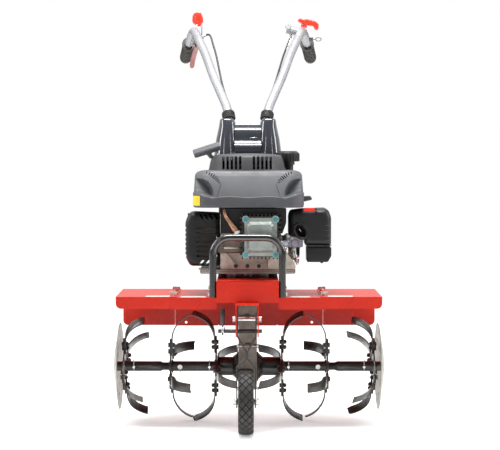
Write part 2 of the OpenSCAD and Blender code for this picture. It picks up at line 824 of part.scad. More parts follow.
// Square-cornered plate with one arm for each tine
module hub_plate(k) {
    x = hub_x[k];
    rotate([hub_turn[k], 0, 0]) difference() {
        along_x(x - plate_t / 2, x + plate_t / 2) {
            circle(56);
            for (a = [0:90:270]) rotate(a) translate([-hub_side[k] * tine_offset - 18, 0]) {
                square([36, 72]);
                translate([18, 72]) circle(18);
            }
        }
        bar_x(40.1, 0, 450);
        for (a = [0:90:270], r = bolt_r) rotate([a, 0, 0])
            translate([0, -hub_side[k] * tine_offset, r]) bar_x(8.4, x - 10, x + 10);
    }
}

module cross_hole(x) { translate([x, 0, 0]) rotate([90, 0, 0]) cylinder(d = 8.4, h = 80, center = true); }

module inner_hubs() {
    color(black) at_shaft() both_sides() {
        difference() {
            union() {
                bar_x(sleeve_d, 99, 254);
                bar_x(40, 99, 108);
                bar_x(40, 240, 252);
            }
            bar_x(shaft_d + 0.4, 90, 260);
            cross_hole(125);
            cross_hole(218);
        }
        hub_plate(0);
        hub_plate(1);
    }
}

module outer_hubs() {
    color(black) at_shaft() both_sides() {
        difference() {
            union() {
                bar_x(shaft_d, 190, 290);
                translate([272, 0, 0]) rotate([0, 90, 0]) cylinder(d1 = shaft_d, d2 = sleeve_d, h = 8);
                bar_x(sleeve_d, 280, 402);
                bar_x(40, 388, 400);
            }
            bar_x(22, 296, 410);
            cross_hole(218);
            cross_hole(364);
        }
        hub_plate(2);
    }
}

// Side view of the blade: flat root, round bend, short straight tip. x is along the shaft.
module blade_side() {
    centre = [bend_r, root_r];
    translate([0, 38]) square([tine_t, root_r - 38]);
    intersection() {
        translate(centre) difference() {
            circle(bend_r, $fn = 128);
            circle(bend_r - tine_t, $fn = 128);
        }
        polygon([centre, centre - [2 * bend_r, 0], centre + [-2 * bend_r, 2 * bend_r],
            centre + 2 * bend_r * [-cos(bend_angle), sin(bend_angle)]]);
    }
    translate(centre + bend_r * [-cos(bend_angle), sin(bend_angle)]) rotate(-bend_angle)
        square([tine_t, tip_len]);
}

// Front view of the blade: it sweeps back from the root to the tip
module blade_face() {
    w = tine_w / 2;
    polygon([[tine_offset - w, 38], [tine_offset + w, 38], [tine_offset + w, 92], [50 + w - 5, 130],
        [50 + w, 178], [50 - w + 2, 167], [50 - w - 6, 130], [tine_offset - w, 96]]);
}

// One tine, standing up from the shaft, its root flat on x = 0 and its tip bent to +x
module tine(side) {
    difference() {
        intersection() {
            rotate([90, 0, 0]) linear_extrude(160, center = true) blade_side();
            rotate([90, 0, 90]) linear_extrude(120) mirror([side > 0 ? 1 : 0, 0]) blade_face();
        }
        for (r = bolt_r) translate([0, -side * tine_offset, r]) bar_x(8.4, -2, tine_t + 2);
    }
}

// The four tines of one hub on the right, at bend +1 outward or -1 inward
module tine_set(k, bends) {
    gap = 0.05;
    rotate([hub_turn[k], 0, 0]) for (i = [0:3]) rotate([90 * i, 0, 0])
        if (bends[i % 2] > 0) translate([hub_x[k] + plate_t / 2 + gap, 0, 0]) tine(hub_side[k]);
        else translate([hub_x[k] - plate_t / 2 - gap, 0, 0]) mirror([1, 0, 0]) tine(hub_side[k]);
}

module tines_of_side() {
    tine_set(0, [1, -1]);
    tine_set(1, [-1, -1]);
    tine_set(2, [-1, -1]);
}

module tines_left() { color(black) at_shaft() mirror([1, 0, 0]) tines_of_side(); }

module tines_right() { color(black) at_shaft() tines_of_side(); }

module tine_bolts() {
    color(black) at_shaft() both_sides() for (k = [0:2], i = [0:3], r = bolt_r)
        rotate([hub_turn[k] + 90 * i, 0, 0]) translate([hub_x[k], -hub_side[k] * tine_offset, r]) {
            out = k == 0 && i % 2 == 0 ? 1 : -1;
            mirror([out > 0 ? 0 : 1, 0, 0]) {
                bar_x(8, -plate_t / 2 - 3, plate_t / 2 + tine_t + 9);
                hex_x(13, -plate_t / 2 - 5.5, -plate_t / 2);
                hex_x(13, plate_t / 2 + tine_t + 0.1, plate_t / 2 + tine_t + 6.6);
            }
        }
}

module side_disc() {
    out = working_w / 2;
    difference() {
        rotate([0, 90, 0]) rotate_extrude($fn = 128) polygon([[15.05, out - 3], [50, out - 3],
            [disc_d / 2 - 4, out - 17], [disc_d / 2, out - 17], [disc_d / 2, out - 15.5],
            [disc_d / 2 - 4, out - 14], [50, out], [15.05, out]]);
        for (a = [20:60:320]) rotate([a, 0, 0]) translate([0, 0, 98]) bar_x(9, 350, 440);
    }
    // spindle of the disc, welded in its centre
    difference() {
        union() {
            bar_x(21.6, 345, out - 2);
            bar_x(30, 403, out - 1);
        }
        cross_hole(364);
    }
}

module side_discs() { color(steel) at_shaft() both_sides() side_disc(); }

// Round-headed cross pin with its hairpin clip
module clevis_pin(x) {
    translate([x, 0, 0]) rotate([90, 0, 0]) {
        cylinder(d = 8, h = 56, center = true);
        translate([0, 0, 22]) cylinder(d = 15, h = 3);
    }
    translate([x, 23, -14]) rotate([90, 0, 90]) rotate_extrude($fn = 32) translate([9, 0]) circle(1.3, $fn = 16);
    translate([x, 23, -6]) cylinder(d = 2.4, h = 16);
}

module clevis_pins() {
    color(zinc) at_shaft() both_sides() {
        rotate([180, 0, 0]) clevis_pin(125);
        clevis_pin(218);
        rotate([180, 0, 0]) clevis_pin(364);
    }
}

// ---- wheel ----

module at_axle() { translate([wheel_x, rotor_y + wheel_y, wheel_d / 2]) children(); }

module wheel_rim() {
    color(black) at_axle() difference() {
        rotate([0, 90, 0]) rotate_extrude() polygon([[10, -23], [17, -23], [17, -4], [62, -3], [62, -20],
            [66, -20], [66, 20], [62, 20], [62, 3], [17, 4], [17, 23], [10, 23]]);
        bar_x(12 + 2 * fit, -40, 40);
        for (a = [0:60:300]) rotate([a, 0, 0]) translate([0, 0, 40]) bar_x(18, -30, 30);
    }
}

module tyre() {
    r = wheel_d / 2;
    w = wheel_w / 2;
    color(black) at_axle() difference() {
        rotate([0, 90, 0]) rotate_extrude($fn = 96) polygon([[66, -20], [72, -w], [r - 10, -w], [r - 1.5, -w + 5],
            [r, -w + 12], [r, w - 12], [r - 1.5, w - 5], [r - 10, w], [72, w], [66, 20]]);
        for (a = [0:15:345], s = [-1, 1]) rotate([a + 4 * s, 0, 0]) translate([s * 12, 0, r])
            rotate([0, 0, 35 * s]) cube([20, 3.5, 8], center = true);
    }
}

fork_left = [[-34.5, 374], [-34.5, 300], [-8.5, 254], [-8.5, 234], [-37, 206], [-37, 84]];

module fork_bar(s) {
    mid = -6.5;
    points = [for (p = fork_left) [s > 0 ? p[0] : 2 * mid - p[0] - (p[1] < 210 ? 4.5 : 0), p[1]]];
    along_y(pivot_y - 14, pivot_y + 14) strip(points, 4);
}

module wheel_fork() {
    color(black) at_base() difference() {
        union() {
            fork_bar(1);
            fork_bar(-1);
        }
        translate([0, pivot_y, pivot_z]) bar_x(10 + 2 * fit, -60, 60);
        translate([0, wheel_y, wheel_d / 2]) bar_x(12.4, -60, 60);
    }
}

module wheel_axle() {
    color(zinc) at_axle() {
        bar_x(12, -38, 38);
        for (s = [0, 1]) mirror([s, 0, 0]) {
            hex_x(19, 30.5, 40);
            bar_x(22, 30.5, 31.5);
            bar_x(19, 24, 25.8);
        }
    }
}

// Stop rod behind the fork, with its pull spring on the left
module lock_rod() {
    color(black) at_base() {
        translate([0, rod_y, rod_z]) bar_x(12, -94, 40);
        translate([-80, rod_y, rod_z - 12]) cylinder(d = 5, h = 32);
        translate([-80, rod_y, 334]) cylinder(d = 14, h = 50);
    }
}

// ---- handlebars ----

bar_route = [[-62, 322, 966], [-71, 350, 1009], [-95, 405, 1066], [-120, 460, 1124], [-149, 540, 1202],
    [-173, 600, 1254], [-187, 638, 1284], [-196, 668, 1288], [-205, 698, 1272],
    [-211.7, 725.6, 1253.3], [-213, 735, 1250], [-221.65, 797.5, 1228.15], [-230, 858, 1207]];
grip_ends = [[-213, 735, 1250], [-230.3, 860, 1206.3]];
clutch_route = [[-156, 623, 1267], [-147, 613, 1275], [-136, 600, 1268], [-126, 580, 1236],
    [-114, 545, 1194], [-92, 462, 1092], [-74, 402, 1036], [-64, 378, 1010], [-60, 363, 986],
    [-58, 354, 972], [-58, 348, 960], [-58, 344, 950]];
throttle_route = [[146, 640, 1276], [145, 640, 1262], [138, 630, 1244], [128, 606, 1218], [116, 566, 1184],
    [88, 462, 1092], [66, 402, 1036], [56, 378, 1010], [52, 363, 986], [50, 354, 972], [50, 348, 960],
    [50, 344, 950]];

function shifted(route, dx, side) = [for (p = route) [side * p[0] + dx, p[1], p[2]]];

module one_bar(side) {
    route = curve(shifted(bar_route, cx, side), 3);
    sweep_tube(route, bar_d, bar_d - 4, 16);
    translate([route[0][0], tilt_y, tilt_z]) difference() {
        union() {
            bar_x(26, -9, 9);
            rod([0, 0, 0], [0, 16, 22], 22);
        }
        bar_x(10, -20, 20);
    }
}

module handlebar_tubes() {
    color([0.78, 0.79, 0.8]) at_base() {
        one_bar(1);
        one_bar(-1);
        translate([0, tilt_y, tilt_z]) bar_x(10, cx - 91, cx + 91);
        // clamps that carry the levers
        rod([-190, 634, 1268], [-161, 634, 1268], 16);
        rod([133, 640, 1296], [190, 640, 1282], 30);
        lever_brackets();
    }
}

// Ears, pins and post on which the levers turn
module lever_brackets() {
    box([-201, 627, 1229], [-197.5, 640, 1274]);
    box([-173.5, 627, 1229], [-170, 640, 1272]);
    translate([0, lever_y, lever_z]) bar_x(6, -201, -170);
    box([-170, 627, 1264], [-166, 639.5, 1316]);
    translate([0, 636, paddle_z]) bar_x(5, -186, -166);
    translate([198, 663, 1320]) rotate([0, 14, 0]) translate([0, 0, -26]) cylinder(d = 8, h = 24);
}

module hand_grips() {
    color(black) at_base() for (side = [1, -1]) {
        ends = shifted(grip_ends, cx, side);
        along = unit(ends[1] - ends[0]);
        difference() {
            union() {
                rod(ends[0], ends[1], grip_d);
                rod(ends[0] - 3 * along, ends[0] + 4 * along, 50);
                for (k = [1:9]) rod(ends[0] + 13 * k * along, ends[0] + (13 * k + 4) * along, grip_d + 3);
                rod(ends[1], ends[1] + 4 * along, grip_d - 6);
            }
            rod(ends[0] - 20 * along, ends[1], bar_d + 0.1);
        }
    }
}

// Rubber collars round the tubes where they enter the column
module bar_collars() {
    color(black) at_base() for (side = [1, -1]) {
        foot = shifted(bar_route, cx, side)[0];
        along = unit(shifted(bar_route, cx, side)[1] - foot);
        difference() {
            rod(foot + 22.5 * along, foot + 44 * along, 42);
            rod(foot - 20 * along, foot + 60 * along, 33);
        }
    }
}

module control_cables() {
    color(black) at_base() for (route = [clutch_route, throttle_route]) sweep(curve(route, 4), 7, 8);
}

// Arms of the column, standing either side of the open middle
module column_arm(inset) {
    hull() {
        translate([31 + inset, 268 + inset, 848]) cube([82 - 2 * inset, 112 - 2 * inset, 1]);
        translate([42 + inset, 288 + inset, 967 - inset]) cube([54 - 2 * inset, 68 - 2 * inset, 1]);
    }
}

module column_body(inset) {
    hull() {
        translate([-62 + inset, 300 + inset, 464 + (inset > 0 ? 4 : 0)])
            cube([124 - 2 * inset, 92 - 2 * inset, 1]);
        translate([-113 + inset, 268 + inset, 849 + (inset > 0 ? 1 : 0)])
            cube([226 - 2 * inset, 112 - 2 * inset, 1]);
    }
}

module handle_column() {
    color(black) at_base() translate([cx, 0, 0]) difference() {
        union() {
            column_body(0);
            both_sides() column_arm(0);
            // bowed panel between the arms
            along_x(-42, 42) difference() {
                translate([353, 848]) circle(104, $fn = 96);
                square([600, 848]);
                translate([340, 700]) square([300, 300]);
            }
        }
        column_body(4);
        both_sides() {
            column_arm(4);
            translate([0, tilt_y, tilt_z]) bar_x(10 + 2 * fit, 20, 110);
        }
        // slots in which the tubes tilt
        both_sides() translate([46, 292, 962]) cube([46, 90, 20]);
        both_sides() translate([48, 340, 940]) cube([14, 42, 40]);
        for (x = [-42, 42], y = [315, 378]) translate([x, y, 450]) cylinder(d = 8.4, h = 30);
    }
}

module clutch_lever() {
    color([0.45, 0.1, 0.06]) at_base() difference() {
        union() {
            translate([0, lever_y, lever_z]) bar_x(16, cx - 190, cx - 170);
            hull() {
                translate([cx - 190, lever_y - 2, lever_z - 8]) cube([20, 12, 10]);
                translate([-210, 735, 1199]) cube([18, 10, 5]);
            }
            hull() {
                translate([-210, 735, 1199]) cube([18, 10, 5]);
                translate([-218, 795, 1167]) cube([18, 10, 5]);
            }
        }
        translate([0, lever_y, lever_z]) bar_x(6.1, cx - 200, cx - 160);
    }
}

module reverse_lever() {
    color(red) at_base() {
        hull() {
            translate([-205, 642, 1320]) cube([43, 9, 26]);
            translate([-196, 642, 1310.5]) cube([26, 9, 50.5]);
        }
        difference() {
            hull() {
                translate([0, 636, paddle_z]) bar_x(8, -184, -172);
                translate([-184, 632, 1313]) cube([12, 10.5, 10]);
            }
            translate([0, 636, paddle_z]) bar_x(5.1, -190, -160);
        }
    }
}

module throttle_lever() {
    color(red) at_base() {
        difference() {
            translate([182, 650, 1310]) rotate([0, 14, 0]) hull() {
                cube([64, 26, 18]);
                translate([6, 4, 0]) cube([48, 18, 26]);
            }
            translate([198, 663, 1320]) rotate([0, 14, 0]) translate([0, 0, -40]) cylinder(d = 8.1, h = 44);
        }
    }
}

module recoil_handle() {
    color(charcoal) at_base() translate([-135, 58, 865]) {
        rotate([0, -18, 0]) hull() {
            translate([-40, 0, 0]) rotate([0, 90, 0]) cylinder(d = 18, h = 80, $fn = 32);
            translate([-46, -6, -5]) cube([92, 12, 10]);
        }
        rotate([0, 146.3, 0]) cylinder(d = 9, h = 45);
    }
}

module fuel_cap() {
    color(black) at_base() translate([cap_x, cap_y, 818]) difference() {
        union() {
            cylinder(d = 46, h = 11);
            translate([0, 0, 11]) cylinder(d = 76, h = 27);
            translate([0, 0, 38]) cylinder(d1 = 76, d2 = 58, h = 7);
            for (a = [0:15:345]) rotate([0, 0, a]) translate([37.2, 0, 13]) cylinder(d = 4, h = 23);
        }
        translate([0, 0, -1]) cylinder(d = 37.8, h = 22);
    }
}

module choke_lever() {
    color([0.35, 0.35, 0.36]) at_base() {
        translate([152, -15, 590]) cylinder(d = 4, h = 18);
        translate([152, -18, 606]) cube([27, 6, 3]);
    }
}

module drag_stake() {
    color(black) at_base() difference() {
        union() {
            translate([cx - stake_w / 2, stake_y - 5, 0]) cube([stake_w, 9, 545]);
            translate([cx - stake_w / 2, stake_y - 45, 0]) cube([stake_w, 90, 6]);
        }
        for (k = [-1:4]) translate([cx, 0, pin_z + pin_step * k]) bar_y(10.5, stake_y - 10, stake_y + 10);
    }
}

main_frame();
front_bumper();
frame_bolts();
wheel_bracket();
gearcase_left();
gearcase_right();
axle_housings();
bearings();
shaft_seals();
inner_fender_left();
inner_fender_right();
outer_fender_left();
outer_fender_right();
engine_block();
cylinder_head();
valve_cover();
cover_bolts();
spark_plug();
ignition_lead();
muffler();
muffler_guard();
carburettor();
air_filter_case();
air_filter_element();
engine_cover();
recoil_housing();
fuel_tank();
handle_column();
belt();
rotor_shaft();
worm_wheel();
inner_hubs();
outer_hubs();
tines_left();
tines_right();
tine_bolts();
side_discs();
clevis_pins();
worm_shaft();
driven_pulley();
crankshaft();
flywheel();
idler_arm();
idler_wheel();
wheel_fork();
wheel_axle();
wheel_rim();
tyre();
lock_rod();
handlebar_tubes();
hand_grips();
bar_collars();
control_cables();
clutch_lever();
reverse_lever();
throttle_lever();
recoil_handle();
fuel_cap();
choke_lever();
drag_stake();
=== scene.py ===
"""Looks of a walk-behind tiller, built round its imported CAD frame."""

import math

import bmesh
import bpy
from mathutils import Matrix, Vector


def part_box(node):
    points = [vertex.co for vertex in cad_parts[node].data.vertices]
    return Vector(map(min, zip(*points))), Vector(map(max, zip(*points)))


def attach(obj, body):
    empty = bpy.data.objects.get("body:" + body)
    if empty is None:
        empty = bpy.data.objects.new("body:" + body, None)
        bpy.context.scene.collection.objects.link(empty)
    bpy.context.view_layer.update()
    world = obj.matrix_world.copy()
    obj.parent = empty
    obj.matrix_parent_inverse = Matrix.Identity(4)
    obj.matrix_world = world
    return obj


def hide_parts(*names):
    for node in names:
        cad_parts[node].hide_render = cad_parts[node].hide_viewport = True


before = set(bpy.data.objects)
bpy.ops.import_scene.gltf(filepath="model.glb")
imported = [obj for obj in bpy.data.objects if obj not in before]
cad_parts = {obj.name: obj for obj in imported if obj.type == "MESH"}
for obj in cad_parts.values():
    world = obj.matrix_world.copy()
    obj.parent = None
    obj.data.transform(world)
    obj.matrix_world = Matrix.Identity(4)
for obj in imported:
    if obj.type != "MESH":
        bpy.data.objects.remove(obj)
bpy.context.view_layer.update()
MM = 0.001


def span(node, axis):
    """Lowest and highest coordinate of a CAD node along an axis, in millimetres."""
    lo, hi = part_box(node)
    return lo[axis] / MM, hi[axis] / MM


def middle(node, axis):
    lo, hi = span(node, axis)
    return (lo + hi) / 2


ROTOR_Y = middle("rotor_shaft", 1)
ROTOR_Z = middle("rotor_shaft", 2)
CX = middle("main_frame", 0)


def at(x, y, z):
    """A point in the row frame from millimetres, with y counted from the rotor shaft."""
    return Vector((x * MM, (ROTOR_Y + y) * MM, z * MM))


# ---- geometry ----

class Shape:
    """Collects solids in millimetres, with y counted from the rotor shaft, into one mesh."""

    def __init__(self):
        self.verts, self.faces, self.smooth = [], [], []

    def add(self, verts, faces, smooth=True):
        base = len(self.verts)
        self.verts += [Vector(v) for v in verts]
        self.faces += [tuple(base + i for i in f) for f in faces]
        self.smooth += [smooth] * len(faces)
        return self

    def loft(self, rings, caps=True, closed=True, smooth=True):
        n = len(rings[0])
        verts = [p for ring in rings for p in ring]
        faces = []
        for i in range(len(rings) - 1):
            for k in range(n if closed else n - 1):
                a, b = i * n + k, i * n + (k + 1) % n
                faces.append((a, b, b + n, a + n))
        if caps:
            faces.append(tuple(range(n - 1, -1, -1)))
            faces.append(tuple((len(rings) - 1) * n + k for k in range(n)))
        return self.add(verts, faces, smooth)

    def tube(self, path, radius, sides=16, caps=True):
        """A round bar along a path; radius is one number or one for each point."""
        pts = [Vector(p) for p in path]
        radii = radius if isinstance(radius, (list, tuple)) else [radius] * len(pts)
        heads = []
        for i in range(len(pts)):
            heads.append((pts[min(i + 1, len(pts) - 1)] - pts[max(i - 1, 0)]).normalized())
        side = heads[0].cross(Vector((0.31, 0.17, 0.93)))
        if side.length < 0.05:
            side = heads[0].cross(Vector((1, 0, 0)))
        side.normalize()
        rings = []
        for p, h, r in zip(pts, heads, radii):
            side = (side - side.dot(h) * h).normalized()
            up = h.cross(side)
            rings.append([p + r * (math.cos(t) * side + math.sin(t) * up)
                          for t in (2 * math.pi * k / sides for k in range(sides))])
        return self.loft(rings, caps)

    def lathe(self, profile, origin, axis, steps=48, turn=0.0):
        """Turns (radius, distance along the axis) pairs about an axis through origin."""
        w = Vector(axis).normalized()
        u = w.cross(Vector((0, 0, 1)))
        if u.length < 0.1:
            u = w.cross(Vector((1, 0, 0)))
        u.normalize()
        v = w.cross(u)
        o = Vector(origin)
        rings = []
        for r, t in profile:
            rings.append([o + t * w + r * (math.cos(a) * u + math.sin(a) * v)
                          for a in (turn + 2 * math.pi * k / steps for k in range(steps))])
        return self.loft(rings, caps=True)

    def slab(self, outline, plane, lo, hi, smooth=False):
        """A flat outline of (a, b) pairs carried from lo to hi across the named plane."""
        def place(a, b, t):
            return {"xz": (a, t, b), "yz": (t, a, b), "xy": (a, b, t)}[plane]
        return self.loft([[Vector(place(a, b, t)) for a, b in outline] for t in (lo, hi)],
                         smooth=smooth)

    def block(self, lo, hi):
        return self.slab([(lo[0], lo[2]), (hi[0], lo[2]), (hi[0], hi[2]), (lo[0], hi[2])],
                         "xz", lo[1], hi[1])

    def moved(self, matrix):
        self.verts = [matrix @ v for v in self.verts]
        return self

    def join(self, other):
        return self.add(other.verts, other.faces)


def smooth_path(points, steps):
    """A curve through the points, in the given number of steps for each stretch."""
    p = [Vector(q) for q in points]
    out = []
    for i in range(len(p) - 1):
        a, b, c, d = p[max(i - 1, 0)], p[i], p[i + 1], p[min(i + 2, len(p) - 1)]
        for k in range(steps):
            t = k / steps
            out.append(0.5 * (2 * b + (c - a) * t + (2 * a - 5 * b + 4 * c - d) * t * t
                              + (3 * b - a - 3 * c + d) * t ** 3))
    return out + [p[-1]]


def rounded(x0, y0, x1, y1, r, steps=6):
    """Outline of a rectangle with round corners."""
    out = []
    for cx, cy, start in ((x1 - r, y1 - r, 0), (x0 + r, y1 - r, 90), (x0 + r, y0 + r, 180), (x1 - r, y0 + r,
                                            270)):
        for k in range(steps + 1):
            a = math.radians(start + 90 * k / steps)
            out.append((cx + r * math.cos(a), cy + r * math.sin(a)))
    return out


def linked(name, shape):
    """Puts a Shape into the scene as an object with its faces turned outwards."""
    mesh = bpy.data.meshes.new(name)
    mesh.from_pydata([tuple(at(*v)) for v in shape.verts], [], shape.faces)
    bm = bmesh.new()
    bm.from_mesh(mesh)
    bmesh.ops.recalc_face_normals(bm, faces=bm.faces)
    bm.to_mesh(mesh)
    bm.free()
    obj = bpy.data.objects.new(name, mesh)
    bpy.context.scene.collection.objects.link(obj)
    return obj


def piece(name, shape, body, material, bevel=0.0, crease=35, subdivide=0, segments=2,
          replaces=(), cut=None):
    """Turns a Shape into an object that rides on a body and stands for CAD nodes."""
    obj = linked(name, shape)
    mesh = obj.data
    for polygon in mesh.polygons:
        polygon.use_smooth = True
    if cut is not None:
        carve(obj, cut)
        mesh = obj.data
    if not subdivide:
        mesh.set_sharp_from_angle(angle=math.radians(crease))
    if bevel:
        add_bevel(obj, bevel, segments, crease)
    if subdivide:
        mod = obj.modifiers.new("Subdivision", "SUBSURF")
        mod.levels = mod.render_levels = subdivide
    mesh.materials.append(material)
    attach(obj, body)
    if replaces:
        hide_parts(*replaces)
    return obj


def add_bevel(obj, width, segments=2, angle=35):
    mod = obj.modifiers.new("Bevel", "BEVEL")
    mod.width = width * MM
    mod.segments = segments
    mod.limit_method = "ANGLE"
    mod.angle_limit = math.radians(angle)
    mod.use_clamp_overlap = True
    mod.harden_normals = True


def carve(obj, shape):
    """Cuts a Shape out of an object for good."""
    cutter = linked("cutter", shape)
    mod = obj.modifiers.new("Cut", "BOOLEAN")
    mod.operation = "DIFFERENCE"
    mod.solver = "EXACT"
    mod.use_self = True
    mod.object = cutter
    bpy.context.view_layer.update()
    graph = bpy.context.evaluated_depsgraph_get()
    done = bpy.data.meshes.new_from_object(obj.evaluated_get(graph))
    obj.modifiers.remove(mod)
    obj.data = done
    bpy.data.objects.remove(cutter)
    for polygon in done.polygons:
        polygon.use_smooth = True


# ---- materials ----

def ramp_node(tree, stops):
    node = tree.nodes.new("ShaderNodeValToRGB")
    while len(node.color_ramp.elements) < len(stops):
        node.color_ramp.elements.new(0.5)
    for element, (pos, value) in zip(node.color_ramp.elements, stops):
        element.position = pos
        element.color = (*value, 1) if isinstance(value, tuple) else (value, value, value, 1)
    return node


def noise_node(tree, scale, detail=4.0, stretch=(1, 1, 1), rough=0.55):
    coords = tree.nodes.new("ShaderNodeTexCoord")
    mapping = tree.nodes.new("ShaderNodeMapping")
    mapping.inputs["Scale"].default_value = stretch
    noise = tree.nodes.new("ShaderNodeTexNoise")
    noise.inputs["Scale"].default_value = scale
    noise.inputs["Detail"].default_value = detail
    noise.inputs["Roughness"].default_value = rough
    tree.links.new(coords.outputs["Object"], mapping.inputs["Vector"])
    tree.links.new(mapping.outputs["Vector"], noise.inputs["Vector"])
    return noise


def surface(name, color, rough, metallic=0.0, vary=0.12, vary_scale=18.0, rough_vary=0.08,
            bump=0.0, bump_scale=900.0, stretch=(1, 1, 1), coat=0.0, coat_rough=0.08,
            tint=None, dust=0.0, specular=None, grain=None):
    """A procedural material: colour and roughness that drift, a fine grain, and optional dust."""
    mat = bpy.data.materials.new(name)
    mat.use_nodes = True
    tree = mat.node_tree
    shader = tree.nodes["Principled BSDF"]
    shader.inputs["Metallic"].default_value = metallic
    if coat:
        shader.inputs["Coat Weight"].default_value = coat
        shader.inputs["Coat Roughness"].default_value = coat_rough
    if specular is not None:
        shader.inputs["Specular IOR Level"].default_value = specular
    dark = tuple(c * (1 - vary) for c in color)
    light = tuple(min(1.0, c * (1 + vary)) for c in (tint or color))
    drift = noise_node(tree, vary_scale, 5.0, stretch)
    ramp = ramp_node(tree, [(0.3, dark), (0.7, light)])
    tree.links.new(drift.outputs["Fac"], ramp.inputs["Fac"])
    color_out = ramp.outputs["Color"]
    if grain:
        fine = noise_node(tree, grain[0], 3.0, stretch)
        fine_ramp = ramp_node(tree, [(0.35, 1 - grain[1]), (0.65, 1.0)])
        tree.links.new(fine.outputs["Fac"], fine_ramp.inputs["Fac"])
        mix = tree.nodes.new("ShaderNodeMix")
        mix.data_type = "RGBA"
        mix.blend_type = "MULTIPLY"
        mix.inputs[0].default_value = 1.0
        tree.links.new(color_out, mix.inputs[6])
        tree.links.new(fine_ramp.outputs["Color"], mix.inputs[7])
        color_out = mix.outputs[2]
    if dust:
        settle = noise_node(tree, 7.0, 6.0)
        settle_ramp = ramp_node(tree, [(0.45, 0.0), (0.75, dust)])
        tree.links.new(settle.outputs["Fac"], settle_ramp.inputs["Fac"])
        mix = tree.nodes.new("ShaderNodeMix")
        mix.data_type = "RGBA"
        tree.links.new(settle_ramp.outputs["Color"], mix.inputs[0])
        tree.links.new(color_out, mix.inputs[6])
        mix.inputs[7].default_value = (0.22, 0.19, 0.16, 1)
        color_out = mix.outputs[2]
    tree.links.new(color_out, shader.inputs["Base Color"])
    wear = noise_node(tree, vary_scale * 4.3, 6.0, stretch)
    wear_ramp = ramp_node(tree, [(0.3, max(0.03, rough - rough_vary)), (0.7, min(1.0, rough + rough_vary))])
    tree.links.new(wear.outputs["Fac"], wear_ramp.inputs["Fac"])
    tree.links.new(wear_ramp.outputs["Color"], shader.inputs["Roughness"])
    if bump:
        fine = noise_node(tree, bump_scale, 3.0, stretch)
        node = tree.nodes.new("ShaderNodeBump")
        node.inputs["Strength"].default_value = bump
        node.inputs["Distance"].default_value = 0.0006
        tree.links.new(fine.outputs["Fac"], node.inputs["Height"])
        tree.links.new(node.outputs["Normal"], shader.inputs["Normal"])
    return mat


